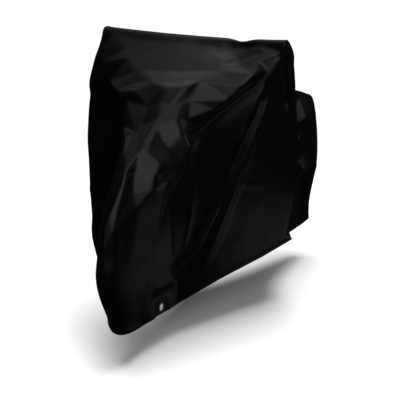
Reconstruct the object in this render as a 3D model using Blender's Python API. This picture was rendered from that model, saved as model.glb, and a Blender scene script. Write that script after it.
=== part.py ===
"""A fitted bicycle cover, hanging as it does on a bicycle that leans on its stand.

Three cloth panels are sewn edge to edge: a centre gusset that runs from the front hem over the
handlebar and saddle down to the rear hem, and a side panel on each side. A reinforced tab with an
eyelet is let into the hem of each side panel beside the front wheel.

Metres, +Z up, +Y towards the bicycle's rear, +X towards the rider's left. The tables below are
measured from the floor under the front wheel. The finished pieces are moved so that the origin
lies under the cover's top, where the handlebar carries it.
"""

import math
from collections import namedtuple

import bmesh
import bpy
import numpy as np
from mathutils import Vector, geometry

CLOTH = 0.002            # thickness of the coated cloth
HEM_CLOTH = 0.003        # thickness where the hem is turned
GAP = 0.0003             # between pieces that are sewn or fitted together
REST = Vector((0.03, 0.275, 1.122))   # where the handlebar carries the cover, above the floor

GUSSET_CELLS = 12        # across the gusset
PANEL_CELLS = 16         # from a seam down to the hem

# One row for each line across the cover, from the front hem to the rear hem. steps is the number
# of cells to the next row, crown the middle of the gusset, and the seams its two edges.
Station = namedtuple("Station", "name steps crown seam_left seam_right")
STATIONS = [
    Station("front hem", 4, (0.055, -0.245, 0.138), (0.062, -0.140, 0.128), (-0.038, -0.185, 0.130)),
    Station("wheel nose", 5, (0.060, -0.328, 0.335), (0.085, -0.093, 0.337), (-0.070, -0.190, 0.345)),
    Station("mudguard", 5, (0.050, -0.310, 0.520), (0.092, -0.030, 0.530), (-0.100, -0.060, 0.530)),
    Station("fork crown", 5, (0.045, -0.215, 0.690), (0.110, 0.045, 0.670), (-0.110, 0.010, 0.690)),
    Station("head tube", 5, (0.045, -0.100, 0.820), (0.150, 0.100, 0.790), (-0.130, 0.046, 0.790)),
    Station("brim", 5, (0.040, 0.010, 0.925), (0.220, 0.210, 0.887), (-0.180, 0.085, 0.910)),
    Station("levers", 5, (0.035, 0.110, 1.020), (0.300, 0.300, 0.970), (-0.260, 0.100, 0.985)),
    Station("grip front", 3, (0.030, 0.210, 1.095), (0.352, 0.345, 1.050), (-0.295, 0.145, 1.090)),
    Station("grip end", 4, (0.040, 0.285, 1.127), (0.365, 0.375, 1.116), (-0.305, 0.190, 1.160)),
    Station("shoulder", 5, (0.030, 0.430, 1.098), (0.312, 0.550, 1.035), (-0.285, 0.330, 1.090)),
    Station("top tube", 4, (0.020, 0.620, 1.020), (0.185, 0.670, 0.980), (-0.165, 0.580, 1.000)),
    Station("saddle", 4, (0.010, 0.880, 0.940), (0.098, 0.880, 0.905), (-0.085, 0.860, 0.915)),
    Station("tail", 4, (0.010, 1.110, 0.862), (0.088, 1.090, 0.840), (-0.065, 1.090, 0.845)),
    Station("rear corner", 5, (0.010, 1.315, 0.806), (0.080, 1.285, 0.796), (-0.055, 1.285, 0.796)),
    Station("rear wheel", 4, (0.010, 1.412, 0.530), (0.076, 1.366, 0.520), (-0.055, 1.366, 0.520)),
    Station("rear hub", 3, (0.008, 1.362, 0.310), (0.066, 1.312, 0.310), (-0.050, 1.318, 0.310)),
    Station("rear hem", 0, (0.008, 1.342, 0.190), (0.068, 1.300, 0.200), (-0.045, 1.300, 0.190)),
]

# How far down a line from the seam to the hem its three inner points lie.
DOWN = (0.0, 0.15, 0.40, 0.70, 1.0)

# One row for each station: y is where its line meets the hem, and the rest is how far that line
# stands out (x) and back (y) of straight at its three inner points.
Line = namedtuple("Line", "y shoulder flank skirt")
LEFT_LINES = [
    Line(0.010, (0.000, 0.000), (0.000, 0.000), (0.000, 0.000)),
    Line(0.050, (0.000, 0.000), (0.000, 0.000), (0.000, 0.000)),
    Line(0.064, (0.000, 0.000), (0.000, 0.000), (0.000, 0.000)),
    Line(0.076, (0.002, 0.000), (0.002, 0.000), (0.000, 0.000)),
    Line(0.088, (0.004, 0.000), (0.004, 0.000), (0.000, 0.000)),
    Line(0.102, (0.004, 0.000), (0.006, 0.000), (0.004, 0.000)),
    Line(0.120, (0.002, 0.000), (0.008, 0.000), (0.006, 0.000)),
    Line(0.160, (0.000, 0.000), (0.012, 0.000), (0.008, 0.000)),
    Line(0.360, (0.000, 0.000), (-0.008, 0.000), (-0.006, 0.000)),
    Line(0.650, (0.000, 0.000), (0.000, 0.000), (0.000, 0.000)),
    Line(0.740, (-0.010, 0.000), (-0.040, 0.000), (-0.030, 0.000)),
    Line(0.900, (0.000, 0.000), (-0.024, 0.000), (-0.016, 0.000)),
    Line(1.020, (0.004, 0.000), (-0.004, 0.000), (-0.008, 0.000)),
    Line(1.120, (0.005, 0.000), (0.008, 0.000), (0.000, 0.000)),
    Line(1.165, (0.004, 0.000), (0.008, 0.000), (0.000, 0.000)),
    Line(1.200, (0.000, 0.000), (0.004, 0.000), (0.000, 0.000)),
    Line(1.235, (0.000, 0.000), (0.000, 0.000), (0.000, 0.000)),
]
RIGHT_LINES = [
    Line(0.000, (0.000, 0.000), (0.000, 0.000), (0.000, 0.000)),
    Line(0.050, (0.015, -0.010), (0.025, -0.030), (0.010, -0.020)),
    Line(0.075, (0.072, -0.042), (0.092, -0.073), (0.035, -0.060)),
    Line(0.100, (0.085, -0.030), (0.118, -0.090), (0.053, -0.080)),
    Line(0.125, (0.103, -0.038), (0.133, -0.085), (0.068, -0.090)),
    Line(0.150, (0.118, -0.018), (0.125, -0.080), (0.075, -0.090)),
    Line(0.190, (0.080, -0.015), (0.090, -0.080), (0.075, -0.075)),
    Line(0.250, (0.062, -0.042), (0.070, -0.065), (0.065, -0.060)),
    Line(0.360, (0.040, -0.020), (0.040, -0.030), (0.030, -0.030)),
    Line(0.500, (0.008, 0.000), (0.000, 0.000), (0.000, 0.000)),
    Line(0.660, (-0.020, 0.000), (-0.040, 0.000), (-0.030, 0.000)),
    Line(0.850, (0.000, 0.000), (-0.020, 0.000), (-0.014, 0.000)),
    Line(1.010, (0.004, 0.000), (-0.004, 0.000), (-0.008, 0.000)),
    Line(1.120, (0.005, 0.000), (0.008, 0.000), (0.000, 0.000)),
    Line(1.165, (0.004, 0.000), (0.008, 0.000), (0.000, 0.000)),
    Line(1.200, (0.000, 0.000), (0.004, 0.000), (0.000, 0.000)),
    Line(1.235, (0.000, 0.000), (0.000, 0.000), (0.000, 0.000)),
]

# The hem line on each side, as seen from above and from the side.
Hem = namedtuple("Hem", "y x z")
LEFT_HEM = [
    Hem(-0.140, 0.062, 0.128),
    Hem(0.060, 0.066, 0.138),
    Hem(0.120, 0.070, 0.145),
    Hem(0.300, 0.136, 0.194),
    Hem(0.500, 0.212, 0.240),
    Hem(0.650, 0.280, 0.290),
    Hem(0.860, 0.150, 0.235),
    Hem(1.200, 0.082, 0.202),
    Hem(1.300, 0.068, 0.200),
]
RIGHT_HEM = [
    Hem(-0.185, -0.038, 0.130),
    Hem(0.060, -0.058, 0.138),
    Hem(0.120, -0.070, 0.145),
    Hem(0.320, -0.175, 0.205),
    Hem(0.500, -0.265, 0.270),
    Hem(0.760, -0.160, 0.235),
    Hem(1.180, -0.070, 0.200),
    Hem(1.300, -0.045, 0.190),
]

# Folds pulled into a side panel, each a ridge (height above zero) or a valley along a curve
# through three points, given as (y, z) on the side.
Fold = namedtuple("Fold", "start middle end width height")
LEFT_FOLDS = [
    Fold((0.430, 1.030), (0.470, 0.960), (0.500, 0.880), 0.022, -0.012),     # tuck behind the grip
]
RIGHT_FOLDS = [
    Fold((0.160, 1.040), (0.060, 0.740), (-0.020, 0.400), 0.046, 0.008),
    Fold((0.120, 0.900), (0.160, 0.640), (0.130, 0.300), 0.035, -0.016),
    Fold((0.230, 1.040), (0.300, 0.660), (0.260, 0.240), 0.030, 0.016),
    Fold((0.290, 1.040), (0.400, 0.760), (0.420, 0.400), 0.040, -0.012),
    Fold((0.020, 0.560), (0.080, 0.380), (0.090, 0.190), 0.018, 0.010),
    Fold((-0.060, 0.420), (0.030, 0.300), (0.060, 0.190), 0.012, -0.008),
    Fold((0.600, 0.930), (0.720, 0.700), (0.760, 0.400), 0.060, -0.016),
    Fold((1.240, 0.780), (1.120, 0.560), (1.080, 0.260), 0.040, 0.012),
    Fold((1.060, 0.740), (1.180, 0.640), (1.290, 0.600), 0.030, -0.010),
    Fold((0.860, 0.860), (0.960, 0.580), (0.920, 0.280), 0.050, -0.012),
]

# Folds in the gusset, given as (rows of STATIONS, share of the way from crown to left seam).
GUSSET_FOLDS = [
    Fold((7.40, 0.52), (8.00, 0.50), (8.60, 0.48), 0.034, -0.010),          # dip in the top
    Fold((9.00, -0.60), (9.80, 0.00), (10.60, 0.60), 0.040, -0.010),
    Fold((11.2, -0.70), (11.9, 0.10), (12.6, 0.60), 0.030, -0.008),
    Fold((13.2, 0.60), (13.6, 0.00), (14.0, -0.60), 0.022, 0.007),
]

# Where the creases of the gusset's front meet: row and share as above, and how far the point
# stands out of the tube that the cloth would be without them. The cloth is flat between creases.
Corner = namedtuple("Corner", "name row share height")
CORNERS = [
    Corner("grip corner", 7.50, -0.88, 0.000),
    Corner("long ridge high", 6.74, -0.70, 0.000),
    Corner("long ridge", 6.44, -0.59, 0.000),
    Corner("long ridge low", 5.92, -0.39, 0.000),
    Corner("brim left", 5.48, -0.39, -0.006),
    Corner("brim mid", 5.44, -0.16, 0.006),
    Corner("leaf tip", 5.27, 0.08, 0.014),
    Corner("brim right", 5.36, 0.35, 0.017),
    Corner("rising crease", 5.65, 0.43, 0.005),
    Corner("rising crease mid", 6.07, 0.55, 0.000),
    Corner("rising crease top", 6.40, 0.70, -0.004),
    Corner("crescent low", 4.84, 0.88, 0.005),
    Corner("crescent mid", 5.20, 0.89, 0.014),
    Corner("crescent high", 5.74, 0.86, 0.022),
    Corner("crescent top", 6.18, 0.87, 0.022),
    Corner("crescent end", 6.76, 0.81, 0.006),
    Corner("left flat top", 6.44, -0.97, 0.000),
    Corner("left flat low", 5.69, -0.97, 0.000),
    Corner("shadow edge 1", 5.19, -0.47, 0.006),
    Corner("shadow edge 2", 4.87, -0.63, 0.006),
    Corner("front ridge 1", 5.23, -0.86, 0.012),
    Corner("front ridge 2", 4.60, -0.92, 0.016),
    Corner("front ridge 3", 4.08, -0.66, 0.004),
    Corner("front ridge 4", 3.82, -0.35, 0.000),
    Corner("front ridge 5", 3.45, -0.13, 0.000),
    Corner("front ridge 6", 3.08, 0.12, 0.006),
    Corner("front ridge 7", 2.88, 0.20, 0.006),
    Corner("front ridge 8", 2.56, 0.23, 0.004),
    Corner("front ridge 9", 2.32, 0.08, 0.000),
    Corner("front ridge 10", 2.12, -0.04, 0.000),
    Corner("front ridge 11", 1.77, -0.30, 0.000),
    Corner("dark flat low", 4.03, -0.27, -0.024),
    Corner("dark flat right", 4.25, -0.12, -0.018),
    Corner("dark flat mid", 4.76, -0.08, -0.006),
    Corner("leaf left 1", 4.91, 0.12, 0.000),
    Corner("leaf left 2", 4.44, 0.23, -0.004),
    Corner("leaf left 3", 4.14, 0.35, -0.008),
    Corner("leaf left 4", 3.87, 0.55, -0.008),
    Corner("leaf left 5", 3.64, 0.70, 0.008),
    Corner("leaf foot", 3.30, 0.90, 0.040),
    Corner("leaf right 1", 4.83, 0.31, 0.002),
    Corner("leaf right 2", 4.40, 0.55, 0.008),
    Corner("leaf right 3", 4.03, 0.74, 0.020),
    Corner("leaf right 4", 3.72, 0.90, 0.040),
    Corner("beside leaf top", 5.03, 0.47, -0.004),
    Corner("beside leaf mid", 4.44, 0.70, -0.008),
    Corner("beside leaf low", 3.95, 0.90, 0.004),
    Corner("under leaf 1", 3.58, 0.31, 0.000),
    Corner("under leaf 2", 3.77, 0.35, 0.000),
    Corner("under leaf 3", 3.08, 0.86, 0.010),
    Corner("under leaf 4", 3.09, 0.74, 0.032),
    Corner("under leaf 5", 3.28, 0.63, 0.026),
    Corner("under leaf 6", 3.48, 0.43, 0.005),
    Corner("patch top", 3.51, 0.23, -0.003),
    Corner("patch foot", 3.03, 0.63, 0.030),
    Corner("patch left", 3.20, 0.35, -0.004),
    Corner("crumple 1", 3.06, 0.35, -0.006),
    Corner("crumple 2", 2.66, 0.66, 0.034),
    Corner("crumple 3", 2.68, 0.51, 0.004),
    Corner("tuck 1", 2.76, 0.78, 0.012),
    Corner("tuck 2", 2.78, 0.90, 0.004),
    Corner("tuck 3", 2.60, 0.78, 0.030),
    Corner("tuck 4", 2.64, 0.92, 0.012),
    Corner("last patch left", 2.60, 0.47, -0.002),
    Corner("last patch low", 2.30, 0.60, 0.010),
    Corner("last patch right", 2.21, 0.90, 0.012),
    Corner("low strip 1", 2.43, 0.37, 0.000),
    Corner("low strip 2", 2.02, 0.39, 0.000),
    Corner("low strip 3", 1.97, 0.23, 0.000),
    Corner("low strip 4", 1.70, 0.00, 0.000),
    Corner("side fall 1", 3.45, -0.55, -0.004),
    Corner("side fall 2", 3.00, -0.30, -0.006),
    Corner("side fall 3", 2.60, -0.20, -0.006),
    Corner("side fall 4", 2.20, -0.45, 0.000),
    Corner("top low", 5.95, 0.05, -0.006),
    Corner("top mid", 6.45, 0.00, -0.006),
    Corner("top high", 7.05, -0.10, -0.004),
    Corner("top side", 6.95, -0.55, -0.004),
    Corner("top left", 7.20, 0.45, -0.003),
]

# The creases themselves: each runs straight from corner to corner.
CREASES = [
    ("grip corner", "long ridge high", "long ridge", "long ridge low", "brim mid"),
    ("brim left", "brim mid", "leaf tip", "brim right", "rising crease", "rising crease mid", "rising crease top"),
    ("crescent low", "crescent mid", "crescent high", "crescent top", "crescent end"),
    ("brim left", "shadow edge 1", "shadow edge 2", "front ridge 2"),
    ("left flat top", "left flat low", "front ridge 1", "front ridge 2", "front ridge 3", "front ridge 4",
     "front ridge 5", "front ridge 6", "front ridge 7", "front ridge 8", "front ridge 9", "front ridge 10",
     "front ridge 11"),
    ("brim mid", "dark flat mid", "dark flat right", "dark flat low", "front ridge 3"),
    ("leaf tip", "leaf left 1", "leaf left 2", "leaf left 3", "leaf left 4", "leaf left 5", "leaf foot"),
    ("leaf tip", "leaf right 1", "leaf right 2", "leaf right 3", "leaf right 4"),
    ("brim right", "beside leaf top", "beside leaf mid", "beside leaf low"),
    ("under leaf 1", "under leaf 2", "leaf left 4"),
    ("under leaf 1", "under leaf 6", "under leaf 5", "under leaf 4", "under leaf 3"),
    ("patch top", "under leaf 6"),
    ("patch top", "patch left", "patch foot", "under leaf 4"),
    ("patch left", "crumple 1", "crumple 3", "crumple 2"),
    ("crumple 2", "tuck 1", "tuck 2"),
    ("crumple 2", "tuck 3", "tuck 4"),
    ("crumple 3", "last patch left", "last patch low", "last patch right"),
    ("front ridge 8", "low strip 1", "low strip 2", "low strip 3", "low strip 4"),
]
# The same for the left side panel: y and z, and how far the point stands out of the panel.
PanelCorner = namedtuple("PanelCorner", "name y z out")
PANEL_CORNERS = [
    # three ridges from the grip down to the front wheel, and the slack between them
    PanelCorner("first ridge 1", 0.305, 0.948, 0.004),
    PanelCorner("first ridge 2", 0.288, 0.893, 0.007),
    PanelCorner("first ridge 3", 0.272, 0.840, 0.007),
    PanelCorner("first ridge 4", 0.253, 0.769, 0.007),
    PanelCorner("first ridge 5", 0.229, 0.725, 0.002),
    PanelCorner("first ridge 6", 0.204, 0.660, 0.004),
    PanelCorner("first ridge 7", 0.180, 0.595, 0.002),
    PanelCorner("first slack 1", 0.305, 0.905, -0.004),
    PanelCorner("first slack 2", 0.288, 0.833, -0.005),
    PanelCorner("first slack 3", 0.267, 0.762, -0.010),
    PanelCorner("first slack 4", 0.249, 0.704, -0.008),
    PanelCorner("first slack 5", 0.224, 0.626, -0.006),
    PanelCorner("long ridge 1", 0.340, 0.921, 0.004),
    PanelCorner("long ridge 2", 0.321, 0.878, 0.010),
    PanelCorner("long ridge 3", 0.301, 0.816, 0.012),
    PanelCorner("long ridge 4", 0.274, 0.741, 0.010),
    PanelCorner("long ridge 5", 0.256, 0.669, 0.010),
    PanelCorner("long ridge 6", 0.245, 0.595, 0.012),
    PanelCorner("long ridge 7", 0.240, 0.531, 0.010),
    PanelCorner("long ridge 8", 0.227, 0.471, 0.009),
    PanelCorner("long ridge 9", 0.213, 0.400, 0.008),
    PanelCorner("long ridge 10", 0.199, 0.330, 0.007),
    PanelCorner("long ridge 11", 0.172, 0.256, 0.006),
    PanelCorner("long ridge 12", 0.138, 0.198, 0.004),
    PanelCorner("slack 1", 0.375, 0.933, -0.008),
    PanelCorner("slack 2", 0.365, 0.861, -0.008),
    PanelCorner("slack 3", 0.354, 0.788, -0.010),
    PanelCorner("slack 4", 0.341, 0.713, -0.012),
    PanelCorner("slack 5", 0.327, 0.638, -0.014),
    PanelCorner("slack 6", 0.322, 0.556, -0.012),
    PanelCorner("slack 7", 0.290, 0.474, -0.010),
    PanelCorner("slack 8", 0.282, 0.391, -0.008),
    PanelCorner("slack 9", 0.250, 0.321, -0.007),
    PanelCorner("slack 10", 0.216, 0.242, -0.005),
    PanelCorner("slack 11", 0.179, 0.192, -0.003),
    PanelCorner("lower ridge 1", 0.220, 0.587, -0.004),
    PanelCorner("lower ridge 2", 0.198, 0.514, 0.005),
    PanelCorner("lower ridge 3", 0.176, 0.444, 0.007),
    PanelCorner("lower ridge 4", 0.145, 0.377, 0.007),
    PanelCorner("lower ridge 5", 0.100, 0.320, 0.007),
    PanelCorner("lower ridge 6", 0.037, 0.275, 0.005),
    PanelCorner("lower ridge 7", -0.072, 0.257, 0.002),
    PanelCorner("lower slack 1", 0.214, 0.504, -0.006),
    PanelCorner("lower slack 2", 0.191, 0.428, -0.007),
    PanelCorner("lower slack 3", 0.171, 0.356, -0.007),
    PanelCorner("lower slack 4", 0.133, 0.294, -0.006),
    PanelCorner("lower slack 5", 0.085, 0.238, -0.004),
    PanelCorner("hollow 1", 0.196, 0.560, 0.000),
    PanelCorner("hollow 2", 0.178, 0.490, 0.000),
    PanelCorner("hollow 3", 0.150, 0.425, -0.002),
    PanelCorner("hollow 4", 0.110, 0.370, -0.001),
    PanelCorner("hollow 5", 0.045, 0.325, -0.001),
    PanelCorner("hollow 6", -0.060, 0.300, -0.001),
    # the taut triangle between the grip, the front wheel and the lowest point of the hem
    PanelCorner("strip top", 0.361, 1.003, 0.000),
    PanelCorner("triangle 1", 0.438, 0.920, 0.000),
    PanelCorner("triangle 2", 0.451, 0.851, 0.000),
    PanelCorner("strip foot", 0.392, 0.831, -0.003),
    PanelCorner("triangle 3", 0.474, 0.790, 0.002),
    PanelCorner("triangle 4", 0.478, 0.734, 0.004),
    PanelCorner("triangle 5", 0.471, 0.678, 0.004),
    PanelCorner("triangle 6", 0.463, 0.612, 0.004),
    PanelCorner("triangle 7", 0.453, 0.564, 0.004),
    PanelCorner("triangle 8", 0.419, 0.483, 0.004),
    PanelCorner("triangle 9", 0.394, 0.390, 0.004),
    PanelCorner("triangle 10", 0.352, 0.310, 0.003),
    PanelCorner("triangle 11", 0.286, 0.263, 0.002),
    PanelCorner("triangle 12", 0.222, 0.204, 0.001),
    # between the saddle and the rear wheel
    PanelCorner("behind the grip", 0.640, 0.900, -0.010),
    PanelCorner("back edge 1", 0.568, 0.900, 0.012),
    PanelCorner("back edge 2", 0.595, 0.700, 0.028),
    PanelCorner("back edge 3", 0.624, 0.480, 0.016),
    PanelCorner("behind the edge 1", 0.670, 0.700, -0.004),
    PanelCorner("behind the edge 2", 0.690, 0.480, -0.006),
    PanelCorner("saddle slack 1", 0.740, 0.820, -0.014),
    PanelCorner("saddle slack 2", 0.790, 0.640, -0.020),
    PanelCorner("saddle slack 3", 0.830, 0.420, -0.014),
    PanelCorner("saddle ridge 1", 0.880, 0.800, 0.004),
    PanelCorner("saddle ridge 2", 0.940, 0.560, 0.006),
    PanelCorner("saddle ridge 3", 0.930, 0.340, 0.002),
    PanelCorner("rear slack 1", 0.990, 0.740, -0.012),
    PanelCorner("rear slack 2", 1.010, 0.500, -0.010),
    PanelCorner("rear crest 1", 1.060, 0.712, 0.022),
    PanelCorner("rear crest 2", 1.106, 0.728, 0.030),
    PanelCorner("rear crest 3", 1.250, 0.770, 0.004),
    PanelCorner("rear hollow 1", 1.080, 0.670, -0.008),
    PanelCorner("rear hollow 2", 1.160, 0.680, -0.012),
    PanelCorner("rear hollow 3", 1.300, 0.680, -0.004),
    PanelCorner("rear spur", 1.085, 0.630, 0.010),
    PanelCorner("rear flat 1", 1.100, 0.530, -0.010),
    PanelCorner("rear flat 2", 1.180, 0.560, -0.010),
    PanelCorner("rear flat 3", 1.300, 0.585, 0.000),
    PanelCorner("rear flat 4", 1.130, 0.472, 0.020),
    PanelCorner("rear flat 5", 1.300, 0.470, 0.014),
    PanelCorner("rear groove 1", 1.120, 0.448, -0.006),
    PanelCorner("rear groove 2", 1.280, 0.448, 0.000),
    PanelCorner("rear strip 1", 1.240, 0.425, 0.002),
    PanelCorner("rear strip 2", 1.210, 0.330, 0.014),
    PanelCorner("rear strip 3", 1.170, 0.350, -0.004),
]
PANEL_CREASES = [
    ("first ridge 1", "first ridge 2", "first ridge 3", "first ridge 4", "first ridge 5", "first ridge 6",
     "first ridge 7"),
    ("first slack 1", "first slack 2", "first slack 3", "first slack 4", "first slack 5", "lower ridge 1"),
    ("long ridge 1", "long ridge 2", "long ridge 3", "long ridge 4", "long ridge 5", "long ridge 6",
     "long ridge 7", "long ridge 8", "long ridge 9", "long ridge 10", "long ridge 11", "long ridge 12"),
    ("slack 1", "slack 2", "slack 3", "slack 4", "slack 5", "slack 6", "slack 7", "slack 8", "slack 9",
     "slack 10", "slack 11"),
    ("lower ridge 1", "lower ridge 2", "lower ridge 3", "lower ridge 4", "lower ridge 5", "lower ridge 6",
     "lower ridge 7"),
    ("lower ridge 1", "lower slack 1", "lower slack 2", "lower slack 3", "lower slack 4", "lower slack 5"),
    ("first ridge 7", "hollow 1", "hollow 2", "hollow 3", "hollow 4", "hollow 5", "hollow 6"),
    ("strip top", "triangle 1", "triangle 2", "triangle 3", "triangle 4", "triangle 5", "triangle 6",
     "triangle 7", "triangle 8", "triangle 9", "triangle 10", "triangle 11", "triangle 12"),
    ("strip foot", "triangle 2"),
    ("back edge 1", "back edge 2", "back edge 3"),
    ("behind the grip", "behind the edge 1", "behind the edge 2"),
    ("saddle slack 1", "saddle slack 2", "saddle slack 3"),
    ("saddle ridge 1", "saddle ridge 2", "saddle ridge 3"),
    ("rear slack 1", "rear slack 2"),
    ("rear crest 1", "rear crest 2", "rear crest 3"),
    ("rear hollow 1", "rear hollow 2", "rear hollow 3"),
    ("rear flat 1", "rear flat 2", "rear flat 3"),
    ("rear flat 4", "rear flat 5"),
    ("rear groove 1", "rear groove 2"),
    ("rear strip 1", "rear strip 2"),
]
CREASED_ROWS = (1.0, 1.6, 7.4, 7.9)       # the creases fade in and out over these rows

# Reinforced tabs let into the hem beside the front wheel, and the eyelets set in them.
Tab = namedtuple("Tab", "x y z")
TABS = {"left": Tab(0.066, -0.006, 0.162), "right": Tab(-0.056, -0.020, 0.162)}
TAB_HALF_WIDTH = 0.042
TAB_TOP = 0.034              # above the eyelet's centre
TAB_FOOT = 0.026             # below the eyelet's centre
TAB_CLOTH = 0.003
TAB_CORNER = 0.012
FLAT_REACH = 0.050           # the panel goes flat over this distance round the tab
EYELET_HOLE = 0.0140
EYELET_BARREL = 0.0155
EYELET_RIM = 0.0215
EYELET_DEPTH = 0.0056
EYELET_SEGMENTS = 40

BLACK_CLOTH = (0.018, 0.018, 0.020, 1.0)
BLACK_ENAMEL = (0.012, 0.012, 0.013, 1.0)


def smooth_curve(knots, values, at):
    """Values between the knots of a table, on a cubic whose slopes keep to the rows."""
    knots = np.asarray(knots, float)
    values = np.asarray(values, float).reshape(len(knots), -1)
    at = np.clip(at, knots[0], knots[-1])
    slopes = np.gradient(values, knots, axis=0)
    cell = np.clip(np.searchsorted(knots, at, side="right") - 1, 0, len(knots) - 2)
    width = (knots[cell + 1] - knots[cell])[:, None]
    u = (at - knots[cell])[:, None] / width
    start = (2 * u**3 - 3 * u**2 + 1) * values[cell] + (u**3 - 2 * u**2 + u) * width * slopes[cell]
    end = (3 * u**2 - 2 * u**3) * values[cell + 1] + (u**3 - u**2) * width * slopes[cell + 1]
    return start + end


def station_samples():
    """Every line across the cover, counted in rows of STATIONS."""
    samples = [row + k / s.steps for row, s in enumerate(STATIONS[:-1]) for k in range(s.steps)]
    return np.array(samples + [len(STATIONS) - 1.0])


ROWS = np.arange(len(STATIONS), dtype=float)
LINES = station_samples()
CROWN = smooth_curve(ROWS, [s.crown for s in STATIONS], LINES)
SEAM = {
    "left": smooth_curve(ROWS, [s.seam_left for s in STATIONS], LINES),
    "right": smooth_curve(ROWS, [s.seam_right for s in STATIONS], LINES),
}
SIGN = {"left": 1, "right": -1}
LINE_TABLE = {"left": LEFT_LINES, "right": RIGHT_LINES}
HEM_TABLE = {"left": LEFT_HEM, "right": RIGHT_HEM}
FOLD_TABLE = {"left": LEFT_FOLDS, "right": RIGHT_FOLDS}


def unit(vectors):
    return vectors / np.maximum(np.linalg.norm(vectors, axis=-1, keepdims=True), 1e-12)


def smoothstep(t):
    t = np.clip(t, 0.0, 1.0)
    return t * t * (3 - 2 * t)


def bend(fold, count=33):
    """Points along the curve of a fold."""
    t = np.linspace(0, 1, count)[:, None]
    start, middle, end = (np.array(p) for p in fold[:3])
    return start * (2 * t - 1) * (t - 1) + middle * 4 * t * (1 - t) + end * t * (2 * t - 1)


def relief(points, curve, fold):
    """Height of a fold at each point, from how far the point lies from the fold's curve."""
    apart = np.linalg.norm(points[..., None, :] - curve, axis=-1).min(axis=-1)
    return fold.height * np.exp(-(apart / fold.width) ** 2)


def normals_of(grid, flip):
    """Unit normals of a grid of points, turned inside out when flip is set."""
    along, across = np.gradient(grid, axis=0), np.gradient(grid, axis=1)
    normal = unit(np.cross(along, across)) * (-1 if flip else 1)
    for _ in range(4):
        padded = np.pad(normal, ((1, 1), (1, 1), (0, 0)), mode="edge")
        around = padded[:-2, 1:-1] + padded[2:, 1:-1] + padded[1:-1, :-2] + padded[1:-1, 2:]
        normal = unit(normal * 2 + around)
    return normal


def hem_points(side):
    """The foot of every line, on the hem."""
    y = smooth_curve(ROWS, [line.y for line in LINE_TABLE[side]], LINES)[:, 0]
    table = HEM_TABLE[side]
    x, z = (np.interp(y, [h.y for h in table], [getattr(h, axis) for h in table]) for axis in "xz")
    return np.stack([x, y, z], axis=1)


def laid_flat(spots, values, creases, place, result):
    """Fill in result at each place from the flat faces that lie between spots and creases."""
    plan, _, faces, sources, _, _ = geometry.delaunay_2d_cdt([Vector(s) for s in spots], creases, [], 0, 1e-7)
    for face in faces:
        corner, right, left = (np.array(plan[k]) for k in face)
        basis = np.linalg.inv(np.stack([right - corner, left - corner], axis=1))
        part = (place - corner) @ basis.T
        inside = (part.min(axis=-1) > -1e-9) & (part.sum(axis=-1) < 1 + 1e-9)
        u, v = part[inside][:, :1], part[inside][:, 1:]
        p, q, r = (values[sources[k][0]] for k in face)
        result[inside] = p * (1 - u - v) + q * u + r * v


def crease_ends(corners, creases):
    """The creases as pairs of numbers in the table of corners."""
    names = [corner.name for corner in corners]
    return [(names.index(a), names.index(b)) for crease in creases for a, b in zip(crease, crease[1:])]


def spot_on(surface, across, row, share):
    """The point of the gusset at a row and a share of the way across."""
    line = np.clip(np.searchsorted(LINES, row), 1, len(LINES) - 1)
    before, after = LINES[line - 1], LINES[line]
    part = (row - before) / (after - before)
    spots = [[np.interp(share, across, surface[k, :, axis]) for axis in range(3)] for k in (line - 1, line)]
    return np.array(spots[0]) * (1 - part) + np.array(spots[1]) * part


def creased(surface, across):
    """Pull the tube of the gusset flat between its creases, and keep its two seams."""
    stretch = np.array((0.12, 0.25))
    flat_spots = [(corner.row, corner.share) for corner in CORNERS]
    heights = [corner.height for corner in CORNERS]
    first, last = CREASED_ROWS[0], CREASED_ROWS[-1]
    for row in np.arange(first, last + 0.1, 0.3):
        flat_spots += [(row, -1.0), (row, 1.0)]
        heights += [0.0, 0.0]
    for row in (first, last):
        flat_spots += [(row, share) for share in (-0.6, -0.3, 0.0, 0.3, 0.6)]
        heights += [0.0] * 5
    normals = normals_of(surface, True)
    points = np.array([spot_on(surface, across, *spot) + height * unit(spot_on(normals, across, *spot))
                       for spot, height in zip(flat_spots, heights)])
    result = surface.copy()
    place = np.stack(np.meshgrid(LINES, across, indexing="ij"), axis=-1) * stretch
    laid_flat(np.array(flat_spots) * stretch, points, crease_ends(CORNERS, CREASES), place, result)
    start, full, wane, end = CREASED_ROWS
    share = smoothstep((LINES - start) / (full - start)) * smoothstep((end - LINES) / (end - wane))
    share = share[:, None] * smoothstep((1 - abs(across)) / 0.10)[None, :]
    return surface + (result - surface) * share[:, :, None]


def panel_creased(surface, down):
    """The same for the left side panel, seen from its side: only how far it stands out changes."""
    place = surface[:, :, 1:]
    spots = [(corner.y, corner.z) for corner in PANEL_CORNERS]
    stands = []
    for corner in PANEL_CORNERS:
        apart = np.linalg.norm(place - (corner.y, corner.z), axis=-1).ravel()
        near = np.argsort(apart)[:4]
        weight = 1 / (apart[near] + 1e-4)
        stands.append((surface[:, :, 0].ravel()[near] * weight).sum() / weight.sum() + corner.out)
    creases = crease_ends(PANEL_CORNERS, PANEL_CREASES)
    for column in (0, -1):
        edge = surface[:, column]
        creases += [(len(spots) + k, len(spots) + k + 1) for k in range(len(edge) - 1)]
        spots += [tuple(point) for point in edge[:, 1:]]
        stands += list(edge[:, 0])
    result = surface[:, :, :1].copy()
    laid_flat(spots, np.array(stands)[:, None], creases, place, result)
    share = smoothstep(down / 0.08) * smoothstep((1 - down) / 0.03)
    surface[:, :, 0] += (result[:, :, 0] - surface[:, :, 0]) * share[None, :]
    return surface


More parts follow.
